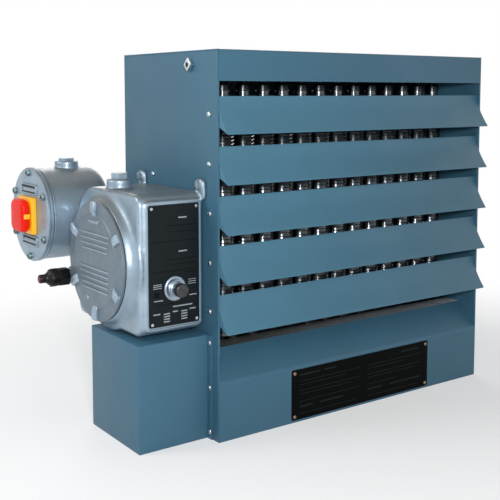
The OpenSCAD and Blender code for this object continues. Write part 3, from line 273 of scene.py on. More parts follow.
def enamel(name, colour, roughness=0.42):
    """Baked enamel on sheet steel: satin, with a faint orange-peel and slow drifts of tone."""
    material, tree, bsdf, place = surface(name, roughness, IOR=1.5, Specular_IOR_Level=0.35)
    drift = spread(tree, grain(tree, place, 220, 3), 0, 1)
    wipe = spread(tree, grain(tree, place, 60, 4), roughness - 0.05, roughness + 0.06)
    feed(tree, bsdf, Roughness=wipe,
         Base_Color=tones(tree, drift, shade(colour, 0.93), shade(colour, 1.06)))
    # Orange peel is about 1 mm across, drawn at 3 mm so that it shows
    relief(tree, bsdf, [(grain(tree, place, 3.0), 0.03), (grain(tree, place, 90), 0.35)])
    return material


def casting(name, colour, metallic=0.55, roughness=0.34, dust_and_shade=0.8):
    """Sand-cast aluminium under grey paint: fine grit, soft dents, and a darker brown-grey film on
    faces that look up, partly dust and partly painted shade on the tops.
    """
    material, tree, bsdf, place = surface(name, roughness)
    drift = spread(tree, grain(tree, place, 45, 4), 0, 1)
    paint = tones(tree, drift, shade(colour, 0.84), shade(colour, 1.08))
    # Faces that look up turn dark brown-grey and less metallic: partly dust, partly painted shade
    # on the tops
    normal = add(tree, "NewGeometry").outputs["Normal"]
    rise = add(tree, "SeparateXYZ", {"Vector": normal}).outputs["Z"]
    dust_and_shade_film = add(tree, "MapRange", {
        "Value": rise, "From Min": 0.1, "From Max": 0.85, "To Min": 0.0, "To Max": dust_and_shade},
        interpolation_type="SMOOTHSTEP").outputs[0]
    bare = add(tree, "MapRange", {
        "Value": dust_and_shade_film, "To Min": metallic, "To Max": metallic * 0.3}).outputs[0]
    wipe = spread(tree, grain(tree, place, 14, 3), roughness - 0.06, roughness + 0.1)
    feed(tree, bsdf, Base_Color=tones(tree, dust_and_shade_film, paint, linear("#4F524E")), Metallic=bare,
         Roughness=wipe)
    relief(tree, bsdf, [(grain(tree, place, 1.6, 3), 0.1), (grain(tree, place, 18), 0.5)])
    return material


def bright(name, code, roughness, size_mm=6.0, stretch=None, depth=0.02):
    """Bare or plated metal: clean colour, with the fine lines that its making left."""
    material, tree, bsdf, place = surface(name, roughness, Metallic=1.0)
    colour = linear(code)
    lines = grain(tree, place, size_mm, 3, 0.6, stretch)
    feed(tree, bsdf,
         Base_Color=tones(tree, spread(tree, lines, 0, 1), shade(colour, 0.85), colour),
         Roughness=spread(tree, lines, roughness * 0.8, roughness * 1.3))
    relief(tree, bsdf, [(lines, depth)])
    return material


def moulded(name, colour, roughness=0.35, depth=0.02, gloss=0.5):
    """Moulded plastic: even colour, a fine spark texture and slight sink marks."""
    material, tree, bsdf, place = surface(name, roughness, IOR=1.53, Specular_IOR_Level=gloss)
    drift = spread(tree, grain(tree, place, 25, 3), 0, 1)
    wipe = spread(tree, grain(tree, place, 8, 3), roughness - 0.05, roughness + 0.07)
    feed(tree, bsdf, Roughness=wipe,
         Base_Color=tones(tree, drift, shade(colour, 0.92), shade(colour, 1.05)))
    relief(tree, bsdf, [(grain(tree, place, 1.2), depth), (grain(tree, place, 20), 0.1)])
    return material


def turned_lines(name, code, centre, axis, roughness, step_mm=1.2):
    """Metal faced on a lathe: fine rings round its own axis that spread the shine."""
    material, tree, bsdf, place = surface(name, roughness, Metallic=1.0)
    move = add(tree, "Mapping", {
        "Vector": place, "Location": [-c * MM for c in centre],
        "Scale": [0.0 if i == axis else 1.0 for i in range(3)]}).outputs[0]
    radius = add(tree, "VectorMath", {0: move}, operation="LENGTH").outputs["Value"]
    ring = add(tree, "Math", {0: radius, 1: math.tau / (step_mm * MM)},
               operation="MULTIPLY").outputs[0]
    wave = add(tree, "Math", {0: ring}, operation="SINE").outputs[0]
    colour = linear(code)
    mark = spread(tree, grain(tree, place, 3, 3), 0, 1)
    feed(tree, bsdf, Base_Color=tones(tree, mark, shade(colour, 0.9), colour))
    relief(tree, bsdf, [(wave, 0.01), (mark, 0.01)])
    return material


def baffle_sheet(name, left=-0.3, right=0.22, clean=0.25):
    """Galvanised sheet: brown-grey at its left end, with painted light that grows along X to near
    white at its right, and a painted white reflection past clean.
    """
    material, tree, bsdf, place = surface(name, 0.34, Metallic=0.35)
    along = add(tree, "SeparateXYZ", {"Vector": place}).outputs["X"]
    ragged = spread(tree, grain(tree, place, 30, 3), -0.03, 0.03)
    ragged_along = add(tree, "Math", {0: along, 1: ragged}, operation="ADD").outputs[0]
    painted_light_ramp = add(tree, "MapRange", {
        "Value": ragged_along, "From Min": left, "From Max": right}).outputs[0]
    end = add(tree, "MapRange", {
        "Value": ragged_along, "From Min": clean - 0.02, "From Max": clean}).outputs[0]
    # Painted light: brown-grey turns near white along X, and pure white past clean stands for a
    # reflection
    sheet = tones(tree, painted_light_ramp, linear("#5E5855"), linear("#D6DADE"))
    feed(tree, bsdf, Base_Color=tones(tree, end, sheet, linear("#FFFFFF")))
    relief(tree, bsdf, [(grain(tree, place, 14, 2), 0.03)])
    return material


def background_ray(tree):
    """1 where a ray comes from the camera, a reflection or through something clear."""
    path = add(tree, "LightPath")
    seen = add(tree, "Math", {
        0: path.outputs["Is Camera Ray"], 1: path.outputs["Is Glossy Ray"]}, operation="MAXIMUM")
    return add(tree, "Math", {
        0: seen.outputs[0], 1: path.outputs["Is Transmission Ray"]}, operation="MAXIMUM").outputs[0]


FINISH = {}


def make_finishes():
    tint = bpy.context.scene.heater_colours
    FINISH.update({
        # Baked blue-grey enamel on folded sheet steel, satin with slow drifts of tone
        "casing_paint": enamel("Blue-grey baked enamel", tint.casing),
        # The louvers' enamel is a lighter copy of the casing's: painted light on the louvers
        "louver_paint": enamel("Louver baked enamel", tint.louver, 0.4),
        # Dark blue-grey machine enamel over cast iron
        "motor_paint": casting("Motor machine enamel", tint.motor, 0.0, 0.42, 0.3),
        # Aluminium-grey paint over sand castings
        "cast_aluminium": casting("Aluminium-grey sand casting", tint.casting),
        # The same paint at half its brightness on the cover's face: painted shade
        "shaded_cover_casting": casting("Half-bright aluminium-grey casting", shade(tint.casting, 0.5), 0.4,
                                0.4),
        # Raised lugs and letters take a lighter copy of the paint with less dust: painted light on
        # their faces
        "lit_lug_casting": casting("Brighter aluminium-grey casting", shade(tint.casting, 1.1), 0.5, 0.3,
                                0.2),
        "rib_casting": casting("Aluminium-grey raised rib", shade(tint.casting, 0.95), 0.4, 0.36),
        # Zinc-coated sheet whose spangle is drawn 14 mm across
        "galvanised": bright("Galvanised sheet", "#9A9DA0", 0.45, 14.0),
        # The baffle's sheet, with painted light and a painted white reflection along it
        "baffle_zinc": baffle_sheet("Galvanised sheet with painted light"),
        # Photo-etched plate, black and semi-gloss
        "black_plate": moulded("Black anodised plate", tint.plate, 0.5, 0.01, 0.04),
        # The control label is a shade lighter than the lines printed on it
        "label_plate": moulded("Black printed label", linear("#12181B"), 0.45, 0.01, 0.12),
        "black_ink": moulded("Printed black ink", linear("#020303"), 0.6, 0.01, 0.1),
        # Plain copper-coloured rivets
        "brass": bright("Copper-brown rivet", "#8F7862", 0.4),
        # Zinc plate gone dull outdoors
        "aged_zinc": bright("Aged zinc plate", "#74898B", 0.42),
        # Bright zinc plate on screws and bolts
        "zinc": bright("Bright zinc plate", "#C9D2D6", 0.3),
        "nylon": moulded("White nylon washer", linear("#E3E0D2"), 0.5),
        # Aluminium fins with fine cross lines from winding, their colour darkened as painted shade
        # inside the casing
        "fins": bright("Darkened wound aluminium fins", "#5E6468", 0.22, 2.0, (1, 1, 0.2)),
        # Dark primer on welded steel headers
        "header_steel": enamel("Dark grey primer", linear("#2C2F31"), 0.6),
        "gasket": moulded("Compressed fibre gasket", linear("#26382C"), 0.8, 0.1),
        "element_sheath": bright("Oxidised element sheath", "#6E5E4E", 0.45),
        # Pressed aluminium fan
        "fan_aluminium": bright("Pressed aluminium", "#B9BCC0", 0.32, 5.0),
        "machined_steel": bright("Machined steel", "#9EA1A4", 0.3, 2.0, (1, 1, 8)),
        "stator": moulded("Varnished laminations", linear("#5A3A28"), 0.4, 0.05),
        # Bright zinc-plated guard wire
        "guard_wire": bright("Zinc-plated wire", "#B9BEC2", 0.28),
        # Turned clear-anodised aluminium dial
        "dial_aluminium": turned_lines("Turned anodised aluminium", "#9FADBA",
                                       (KNOB_X, 0, KNOB_Z), 1, 0.32),
        # Dark glossy phenolic knob
        "knob_plastic": moulded("Dark phenolic knob", linear("#2A2C30"), 0.25, 0.01),
        "thermostat_shell": moulded("Thermostat shell plastic", linear("#B5B2AA"), 0.5),
        "contactor_shell": moulded("Ivory contactor plastic", linear("#D6D2C2"), 0.45),
        "block_plastic": moulded("Black block plastic", linear("#232326"), 0.45),
        # Glossy moulded plastics of the rotary switch
        "yellow_plastic": moulded("Yellow moulded plastic", tint.switch, 0.35),
        "red_plastic": moulded("Red moulded plastic", tint.handle, 0.36, 0.01, 0.18),
        # Black nylon gland with a dark red seal
        "gland_black": moulded("Black nylon gland", linear("#040405"), 0.34, 0.02, 0.25),
        "gland_red": moulded("Dark red seal", linear("#7A2028"), 0.55),
        # Grey-white ink printed on the black plates
        "ink": moulded("Printed grey ink", linear("#8E979C"), 0.6),
        "dim_ink": moulded("Printed dim ink", linear("#15191A"), 0.6, 0.01, 0.1),
        # Near black: a dark joint round the cover, and painted shade on the floors of the pads'
        # wells
        "seam_and_shade": moulded("Dark joint and painted shade", linear("#101214"), 0.7),
    })


# Tools


def clear_selection():
    if bpy.context.object and bpy.context.object.mode != "OBJECT":
        bpy.ops.object.mode_set(mode="OBJECT")
    bpy.ops.object.select_all(action="DESELECT")


def activate(piece):
    clear_selection()
    piece.select_set(True)
    bpy.context.view_layer.objects.active = piece


@contextmanager
def editing(piece):
    """Edit mode on one piece, with all of it selected at the start."""
    activate(piece)
    bpy.ops.object.mode_set(mode="EDIT")
    bpy.ops.mesh.select_all(action="SELECT")
    yield
    bpy.ops.object.mode_set(mode="OBJECT")


def face_outwards(piece):
    """Turns a closed piece's faces to point outwards."""
    with editing(piece):
        bpy.ops.mesh.normals_make_consistent(inside=False)
    return piece


def open_faces(piece, test):
    """Deletes the faces that pass the test."""
    with editing(piece):
        pick(piece, test)
        bpy.ops.mesh.delete(type="FACE")


def settle(name):
    """Names the new object and moves its place, turn and scale into its mesh."""
    piece = bpy.context.object
    piece.name = piece.data.name = name
    bpy.ops.object.transform_apply(location=True, rotation=True, scale=True)
    return piece


def finish_with(piece, kind, **settings):
    """Adds one modifier with its settings and applies it."""
    activate(piece)
    modifier = piece.modifiers.new(kind.title(), kind)
    for key, value in settings.items():
        setattr(modifier, key, value)
    bpy.ops.object.modifier_apply(modifier=modifier.name)
    return piece


def soften(piece, radius_mm, steps=2, angle=32):
    """Rounds the edges of a piece that are sharper than the angle."""
    return finish_with(piece, "BEVEL", width=radius_mm * MM, segments=steps, limit_method="ANGLE",
                       angle_limit=math.radians(angle), use_clamp_overlap=True)


def smooth(piece, angle=40):
    activate(piece)
    bpy.ops.object.shade_smooth_by_angle(angle=math.radians(angle))
    return piece


def block(name, x, y, z, round_mm=0.0, steps=2):
    """A box from its X, Y and Z spans, with rounded edges."""
    clear_selection()
    bpy.ops.mesh.primitive_cube_add(size=1)
    piece = bpy.context.object
    piece.location = [(a + b) / 2 * MM for a, b in (x, y, z)]
    piece.scale = [abs(b - a) * MM for a, b in (x, y, z)]
    settle(name)
    return soften(piece, round_mm, steps) if round_mm else piece


TURN = {"x": (0, math.radians(90), 0), "-x": (0, math.radians(-90), 0),
        "y": (math.radians(-90), 0, 0), "-y": (math.radians(90), 0, 0),
        "z": (0, 0, 0), "-z": (math.radians(180), 0, 0)}


def turned(name, outline, at, towards="z", sides=48, closed=False):
    """A lathed piece: rings of radius and reach in turn, about an axis from a place."""
    clear_selection()
    rings = [p for p in outline if p[0] > 0]
    bpy.ops.mesh.primitive_circle_add(
        vertices=sides, radius=rings[0][0] * MM, location=(0, 0, rings[0][1] * MM))
    piece = bpy.context.object
    bpy.ops.object.transform_apply(location=True, rotation=False, scale=False)
    with editing(piece):
        bpy.ops.mesh.select_mode(type="VERT")
        for (r0, h0), (r1, h1) in zip(rings, rings[1:]):
            bpy.ops.mesh.extrude_edges_move(
                TRANSFORM_OT_translate={"value": (0, 0, (h1 - h0) * MM)})
            bpy.ops.transform.resize(value=(r1 / r0, r1 / r0, 1), center_override=(0, 0, h1 * MM))
        if closed:
            bpy.ops.mesh.select_all(action="DESELECT")
            bpy.ops.mesh.select_non_manifold()
            bpy.ops.mesh.bridge_edge_loops()
        else:
            bpy.ops.mesh.select_all(action="SELECT")
            bpy.ops.mesh.fill_holes(sides=0)
    face_outwards(piece)
    piece.rotation_euler = TURN[towards]
    piece.location = [c * MM for c in at]
    return settle(name)


def rod(name, radius, reach, at, towards="z", sides=32, round_mm=0.0):
    """A cylinder from a place, with its end edges rounded."""
    if round_mm:
        outline = [(radius - round_mm, 0), (radius - round_mm * 0.3, round_mm * 0.3),
                   (radius, round_mm), (radius, reach - round_mm),
                   (radius - round_mm * 0.3, reach - round_mm * 0.3), (radius - round_mm, reach)]
    else:
        outline = [(radius, 0), (radius, reach)]
    return smooth(turned(name, outline, at, towards, sides))


def pick(piece, test, kind="FACE"):
    """In edit mode, selects only what passes the test on its centre in mm and its normal."""
    bpy.ops.mesh.select_mode(type=kind)
    bpy.ops.mesh.select_all(action="DESELECT")
    form = bmesh.from_edit_mesh(piece.data)
    for item in {"FACE": form.faces, "EDGE": form.edges, "VERT": form.verts}[kind]:
        if kind == "FACE":
            chosen = test(item.calc_center_median() / MM, item.normal)
        elif kind == "EDGE":
            chosen = test([v.co / MM for v in item.verts])
        else:
            chosen = test(item.co / MM)
        if chosen:
            item.select_set(True)
    form.select_flush_mode()
    bmesh.update_edit_mesh(piece.data)


def folded(name, line, x, thickness, bends=(), radius=None, steps=4, side=1.0):
    """Sheet folded along X: an edge is drawn out through the points (Y, Z) and thickened."""
    clear_selection()
    width = x[1] - x[0]
    y0, z0 = line[0]
    bpy.ops.mesh.primitive_plane_add(
        size=width * MM, location=((x[0] + width / 2) * MM, (y0 + width / 2) * MM, z0 * MM))
    piece = settle(name)
    with editing(piece):
        pick(piece, lambda p: p.y > y0 + width / 2, "VERT")
        bpy.ops.mesh.delete(type="VERT")
        bpy.ops.mesh.select_mode(type="VERT")
        bpy.ops.mesh.select_all(action="SELECT")
        for (ya, za), (yb, zb) in zip(line, line[1:]):
            bpy.ops.mesh.extrude_edges_move(
                TRANSFORM_OT_translate={"value": (0, (yb - ya) * MM, (zb - za) * MM)})
        if bends:
            spots = [line[i] for i in bends]
            pick(piece, lambda ends: any(
                all(math.dist((e.y, e.z), spot) < SAME_PLACE for e in ends) for spot in spots),
                "EDGE")
            radius = radius or bpy.context.scene.heater_sizes.bend / MM
            bpy.ops.mesh.bevel(offset=radius * MM, segments=steps, affect="EDGES")
    finish_with(piece, "SOLIDIFY", thickness=thickness * MM, offset=side, use_even_offset=True)
    return face_outwards(piece)


def plate(name, points, axis, reach, at=0.0):
    """A flat shape drawn point by point across an axis, then drawn out along it."""
    clear_selection()
    others = [i for i in range(3) if i != axis]

    def spot(point):
        full = [0.0, 0.0, 0.0]
        full[others[0]], full[others[1]], full[axis] = point[0], point[1], at
        return Vector(full) * MM

    bpy.ops.mesh.primitive_plane_add(size=2 * MM)
    piece = settle(name)
    with editing(piece):
        pick(piece, lambda p: p.x > 0 or p.y > 0, "VERT")
        bpy.ops.mesh.delete(type="VERT")
        bpy.ops.mesh.select_all(action="SELECT")
        bpy.ops.transform.translate(value=spot(points[0]) - Vector((-MM, -MM, 0)))
        for a, b in zip(points, points[1:]):
            bpy.ops.mesh.extrude_vertices_move(
                TRANSFORM_OT_translate={"value": spot(b) - spot(a)})
        bpy.ops.mesh.select_all(action="SELECT")
        bpy.ops.mesh.edge_face_add()
        bpy.ops.mesh.select_mode(type="FACE")
        bpy.ops.mesh.select_all(action="SELECT")
        way = [0.0, 0.0, 0.0]
        way[axis] = reach * MM
        bpy.ops.mesh.extrude_region_move(
            TRANSFORM_OT_translate={"value": way, "orient_type": "GLOBAL"})
    return face_outwards(piece)


def about(middle, half):
    """The span that reaches half its width each way from its middle."""
    return middle - half, middle + half


def arc(centre, radius, start, stop, steps):
    """Points along an arc, with the angles in degrees."""
    angles = [math.radians(start + (stop - start) * i / steps) for i in range(steps + 1)]
    return [(centre[0] + radius * math.cos(a), centre[1] + radius * math.sin(a)) for a in angles]


def round_outline(x, y, radius, steps=5):
    """A rectangle's outline with rounded corners."""
    (x0, x1), (y0, y1) = x, y
    corners = [((x1 - radius, y1 - radius), 0), ((x0 + radius, y1 - radius), 90),
               ((x0 + radius, y0 + radius), 180), ((x1 - radius, y0 + radius), 270)]
    return [p for centre, a in corners for p in arc(centre, radius, a, a + 90, steps)]


def spun(piece, angle, centre, axis="X"):
    """Turns a piece in its mesh about a centre in millimetres."""
    middle = Vector(centre) * MM
    piece.data.transform(Matrix.Translation(middle)
                         @ Matrix.Rotation(math.radians(angle), 4, axis)
                         @ Matrix.Translation(-middle))
    return piece


def ring_of(piece, name, count, centre, axis="X", start=0.0):
    """Copies of a piece turned about an axis, as one object."""
    step = 360.0 / count
    twins = [spun(copy_to(piece, f"{name}_{k}"), start + k * step, centre, axis)
             for k in range(count)]
    bpy.data.objects.remove(piece)
    return join(name, twins)


def melt(name, pieces, voxel=None, passes=2):
    """Melts overlapping forms into one casting whose inner corners are filleted."""
    piece = join(name, pieces)
    voxel = voxel or bpy.context.scene.heater_sizes.casting_voxel / MM
    finish_with(piece, "REMESH", mode="VOXEL", voxel_size=voxel * MM)
    finish_with(piece, "SMOOTH", factor=0.5, iterations=passes)
    activate(piece)
    bpy.ops.object.shade_smooth()
    return piece


def join(name, pieces):
    """Makes the pieces one object under one name."""
    clear_selection()
    for piece in pieces:
        piece.select_set(True)
    bpy.context.view_layer.objects.active = pieces[0]
    if len(pieces) > 1:
        bpy.ops.object.join()
    piece = bpy.context.object
    piece.name = piece.data.name = name
    return piece


def carve(piece, cutters, operation="DIFFERENCE"):
    """Cuts the cutters out of a piece, or adds them to it, and removes them."""
    for cutter in cutters:
        finish_with(piece, "BOOLEAN", object=cutter, operation=operation, solver="EXACT")
        bpy.data.objects.remove(cutter)
    return piece


def copy_to(piece, name, move_mm=(0, 0, 0), matrix=None):
    """A copy with its own mesh, moved in its mesh."""
    twin = piece.copy()
    twin.data = piece.data.copy()
    twin.name = twin.data.name = name
    bpy.context.scene.collection.objects.link(twin)
    twin.data.transform(matrix or Matrix.Translation([c * MM for c in move_mm]))
    return twin


def mirrored(piece, name):
    """A copy on the other side of the casing, with its faces pointing outwards again."""
    twin = copy_to(piece, name, matrix=Matrix.Scale(-1, 4, (1, 0, 0)))
    with editing(twin):
        bpy.ops.mesh.flip_normals()
    return twin


def place(piece, slot, replaced=(), finish=None, body="casing"):
    """Gives a piece its finish, the body that it rides on and the nodes that it stands for."""
    piece.data.materials.clear()
    piece.data.materials.append(FINISH[finish or slot])
    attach(piece, body)
    if replaced:
        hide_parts(*([replaced] if isinstance(replaced, str) else replaced))
    return piece


class HeaterStep:
    """What every step of the heater shares"""

    bl_options = {"REGISTER", "UNDO"}

    @classmethod
    def poll(cls, context):
        return context.mode == "OBJECT"


class HEATER_OT_finishes(HeaterStep, bpy.types.Operator):
    """Make the finishes and give each CAD node the one of its slot"""

    bl_idname = "heater.finishes"
    bl_label = "Finishes"

    def execute(self, context):
        make_finishes()
        for row in frame["record"]["subparts"]:
            node = frame["nodes"][row["node"]]
            node.data.materials.clear()
            # The air baffle takes the galvanised sheet with painted light along it
            slot = "baffle_zinc" if row["node"] == "air_baffle" else row["material_slot"]
            node.data.materials.append(FINISH[slot])
            weld = node.modifiers.new("Weld", "WELD")
            weld.merge_threshold = 0.01 * MM
            edge = node.modifiers.new("Edge", "BEVEL")
            edge.width, edge.segments, edge.limit_method = 0.4 * MM, 1, "ANGLE"
            edge.angle_limit = math.radians(35)
        return {"FINISHED"}


class HEATER_OT_casing(HeaterStep, bpy.types.Operator):
    """Fold the casing's panels from sheet, with small bends"""

    bl_idname = "heater.casing"
    bl_label = "Casing"

    def execute(self, context):
        self.side_panels()
        self.top_and_front()
        return {"FINISHED"}

    def side_panels(self):
        inner = LEFT + SHEET
        left = block("side_sheet", (LEFT, inner), (FRONT, BACK), (0, TOP - SHEET))
        soften(left, 0.9, 3)
        fold = (inner, inner + FOLD_W)
        rear = block("rear_fold", fold, (BACK - 2 * SHEET, BACK - SHEET), (SHEET, TOP - SHEET))
        upper = block("upper_fold", fold, (FRONT + SHEET, BACK - 2 * SHEET),
                      (TOP - 2 * SHEET, TOP - SHEET))
        hem = block("front_hem", (inner, inner + HEM_T), (FRONT + HEM_SET, FRONT + HEM_DEEP),
                    (SILL_Z, LIP_Z), 0.5)
        left_parts = [left, rear, upper, hem]
        right_parts = [mirrored(part, "right_" + part.name) for part in left_parts]
        place(join("left_side_sheet", left_parts), "casing_paint", "left_side_panel")
        place(join("right_side_sheet", right_parts), "casing_paint", "right_side_panel")

    def top_and_front(self):
        between = (LEFT + SHEET, RIGHT - SHEET)
        # The top sheet and its lip are one sheet with a bend at the front
        top = folded("top_sheet", [(FRONT + SHEET, LIP_Z), (FRONT + SHEET, TOP - SHEET),
                                   (BACK, TOP - SHEET)],
                     between, SHEET, bends=[1], radius=SHEET, side=-1.0)
        edges = [block("top_edge", x, (FRONT, BACK), (TOP - SHEET, TOP), 0.6)
                 for x in ((LEFT, LEFT + TOP_EDGE_W), (RIGHT - TOP_EDGE_W, RIGHT))]
        place(join("top_sheet", [top, *edges]), "casing_paint", "top_panel")
        back = block("back_sheet", between, (BACK - SHEET, BACK), (SHEET, TOP - SHEET), 0.4)
        carve(back, [rod("inlet", INLET_R, 2 * OVERRUN, (0, BACK - OVERRUN, FAN_Z), "y", 96)])
        place(back, "casing_paint", "back_panel")
        front = folded("front_lower_sheet", [(FRONT, 0), (FRONT, SILL_BEND_Z), (SILL_Y, SILL_Z)],
                       between, SHEET, bends=[1])
        place(front, "casing_paint", "front_lower_panel")


class HEATER_OT_nameplate(HeaterStep, bpy.types.Operator):
    """Make the front plate with its printed rows and rivets"""

    bl_idname = "heater.nameplate"
    bl_label = "Front plate"

    def execute(self, context):
        (x0, x1), (y0, y1), (z0, z1) = span("nameplate")
        face = plate("nameplate", round_outline((x0, x1), (z0, z1), PLATE_CORNER), 1, y1 - y0, y0)
        place(soften(face, 0.3, 1), "black_plate", "nameplate")
        rows = [block("print", (x0 + a, x0 + b), (y0 - INK_OUT, y0 + INK_IN), (z, z + height))
                for z, height, cells in NAMEPLATE_PRINT for a, b in cells]
        place(soften(join("nameplate_rows", rows), 0.05, 1), "black_plate", finish="dim_ink")
        heads = []
        for x in (x0 + RIVET_SET, x1 - RIVET_SET):
            for z in (z0 + RIVET_SET, z1 - RIVET_SET):
                heads.append(turned("rivet", [(3.2, 0), (3.1, 0.5), (2.6, 1.0), (1.5, 1.4),
                                              (0.4, 1.5)], (x, y0, z), "-y", 20))
                heads.append(rod("rivet_shank", 1.6, 5, (x, y0, z), "y", 12))
        place(smooth(join("nameplate_rivets", heads)), "brass", "nameplate_rivets")
        return {"FINISHED"}


def slotted_screw(name, at, towards, radius=SCREW_R, height=SCREW_RISE, turn=30.0):
    """A round-headed screw whose slot is cut across its domed head."""
    head = turned(name, [(radius, 0), (radius, height * 0.3), (radius * 0.86, height * 0.72),
                         (radius * 0.5, height * 0.94), (radius * 0.1, height)], (0, 0, 0), "z", 24)
    slot = block("slot", about(0, radius * 1.2), about(0, SLOT_HALF), (height * 0.55, height * 1.2))
    spun(slot, turn, (0, 0, 0), "Z")
    carve(head, [slot])
    shank = rod("shank", radius * 0.48, SHANK, (0, 0, -SHANK), "z", 12)
    piece = join(name, [head, shank])
    piece.rotation_euler = TURN[towards]
    piece.location = [c * MM for c in at]
    activate(piece)
    return smooth(settle(name))


class HEATER_OT_fasteners(HeaterStep, bpy.types.Operator):
    """Make the casing's screws and its hanger nuts"""

    bl_idname = "heater.fasteners"
    bl_label = "Screws and nuts"

    def execute(self, context):
        place(join("panel_screw_heads", self.panel_screws()), "zinc", "panel_screws")
        pivots = [slotted_screw("pivot", (x, y, z), towards, PIVOT_R, PIVOT_RISE, 35 * k + 20)
                  for x, towards in SIDES for k, (y, z) in enumerate(PIVOTS)]
        place(join("pivot_screw_heads", pivots), "zinc", "louver_pivot_screws")
        nuts = []
        for x in (LEFT - NUT_T, RIGHT):
            nut = block("nut", (x, x + NUT_T), about(NUT_Y, NUT_HALF), about(NUT_Z, NUT_HALF), 0.8)
            spun(nut, 45, (0, NUT_Y, NUT_Z))
            thread = rod("thread", THREAD_R, NUT_T + 4, (x - 2, NUT_Y, NUT_Z), "x", 24)
            nuts.append(carve(nut, [thread]))
        place(smooth(join("hanger_nut_pair", nuts)), "zinc", "hanger_nuts")
        return {"FINISHED"}

    def panel_screws(self):
        """The screws in the sides, the lower box's flanges, the back and the inlet ring."""
        screws = [slotted_screw("screw", (x, *SIDE_SCREW), towards, turn=25)
                  for x, towards in SIDES]
        _, (y0, y1), (z0, z1) = BOX
        for k, y in enumerate((y0 - FLANGE_W / 2, y1 + FLANGE_W / 2)):
            for j, z in enumerate((z0 + END_SET, (z0 + z1) / 2, z1 - END_SET)):
                screws.append(slotted_screw("screw", (LEFT - SHEET, y, z), "-x",
                                            turn=40 * k + 65 * j))
        low, high = span("panel_screws")[2]
        low, high = low + SCREW_R, high - SCREW_R
        for x in (LEFT + END_SET, RIGHT - END_SET):
            for k in range(4):
                z = low + (high - low) * k / 3
                screws.append(slotted_screw("screw", (x, BACK, z), "y", turn=50 * k + x))
        for a in (45, 135, 225, 315):
            x, z = arc((0, FAN_Z), RING_SCREWS_R, a, a, 1)[0]
            screws.append(slotted_screw("screw", (x, BACK + 4, z), "y", turn=a * 0.7))
        return screws


class HEATER_OT_louvers(HeaterStep, bpy.types.Operator):
    """Roll the five louvers with their ears, each on its own pivots"""

    bl_idname = "heater.louvers"
    bl_label = "Louvers"

    def execute(self, context):
        y, z = PIVOTS[0]
        # The blade's section is a curve from its top over a knee to its tip, from the pivot
        top, knee, tip = (-17.8, 28.0), (-20.2, 2.5), (-45.8, -29.0)
        steps = 12
        line = []
        for i in range(steps + 1):
            t = i / steps
            line.append(tuple((1 - t) ** 2 * a + 2 * t * (1 - t) * b + t * t * c
                              for a, b, c in zip(top, knee, tip)))
        sheet = folded("louver_1_blade", [(y + a, z + b) for a, b in line], (-BLADE_X, BLADE_X),
                       BLADE_T, side=-1.0)
        ear_line = [(a + 0.2, b) for a, b in line] + arc((0, 0), EAR_R, -75, 75, 10)
        ears = []
        for x in (0.2 - BLADE_X - EAR_T, BLADE_X - 0.2):
            ear = plate("ear", [(y + a, z + b) for a, b in ear_line], 0, EAR_T, x)
            ears.append(carve(ear, [rod("hole", PIVOT_HOLE_R, 6, (x - 2.2, y, z), "x", 24)]))
        blade = join("louver_1_blade", [sheet, *ears])
        smooth(soften(blade, 0.35, 2), 50)
        for k, (_, height) in enumerate(PIVOTS):
            louver = f"louver_{k + 1}"
            place(copy_to(blade, louver + "_sheet", (0, 0, height - z)), "louver_paint", louver,
                  body=louver)
        bpy.data.objects.remove(blade)
        return {"FINISHED"}


class HEATER_OT_core(HeaterStep, bpy.types.Operator):
    """Wind the finned tubes, which show between the louvers"""

    bl_idname = "heater.core"
    bl_label = "Finned tubes"

    def execute(self, context):
        sizes = context.scene.heater_sizes
        pitch, radius = sizes.fin_pitch / MM, sizes.fin_radius / MM
        root = radius - FIN_DEEP
        fin = turned("fin", [(root, 0), (radius, pitch * 0.08), (radius - 0.8, pitch * 0.82),
                             (root, pitch * 0.88), (root, pitch)], (0, 0, 0), "z", 20)
        open_faces(fin, lambda p, n: abs(n.z) > 0.99)
        finish_with(fin, "ARRAY", count=int(FINNED_LENGTH / pitch), use_relative_offset=False,
                    use_constant_offset=True, constant_offset_displace=(0, 0, pitch * MM),
                    use_merge_vertices=True, merge_threshold=SAME_PLACE * MM)
        fin.data.transform(Matrix.Translation((0, 0, FINS_Z * MM)))
        tube = turned("tube", [(11, 136), (11, 547), (12.8, 548), (11.8, 557), (9.4, 559),
                               (7.6, 560), (6.6, 568)], (0, 0, 0), "z", 24)
        model = smooth(join("tube_model", [fin, tube]), 30)
        tubes = [copy_to(model, "tube", ((k - (TUBE_COUNT - 1) / 2) * TUBE_PITCH, TUBE_Y, 0))
                 for k in range(TUBE_COUNT)]
        bpy.data.objects.remove(model)
        for k in range(math.ceil(TUBE_COUNT / TUBE_GROUP)):
            group = join(f"finned_tubes_{k + 1}", tubes[k * TUBE_GROUP : (k + 1) * TUBE_GROUP])
            place(group, "fins", "finned_tubes")
        return {"FINISHED"}


class HEATER_OT_heater_end(HeaterStep, bpy.types.Operator):
    """Fold the lower box over the heating elements' end, with its two flanges"""

    bl_idname = "heater.heater_end"
    bl_label = "Lower box"

    def execute(self, context):
        x, (y0, y1), z = BOX
        shell = block("lower_box", x, (y0, y1), z, BOX_ROUND, 3)
        open_faces(shell, lambda p, n: p.x > x[1] - 2 * BOX_ROUND)
        finish_with(shell, "SOLIDIFY", thickness=BOX_SHEET * MM, offset=-1)
        wings = [block("wing", (x[1] - SHEET, x[1]), y, z, 0.6)
                 for y in ((y0 - FLANGE_W, y0 + BOX_ROUND), (y1 - BOX_ROUND, y1 + FLANGE_W))]
        place(smooth(join("lower_box", [shell, *wings])), "casing_paint", "heater_end_cover")
        return {"FINISHED"}


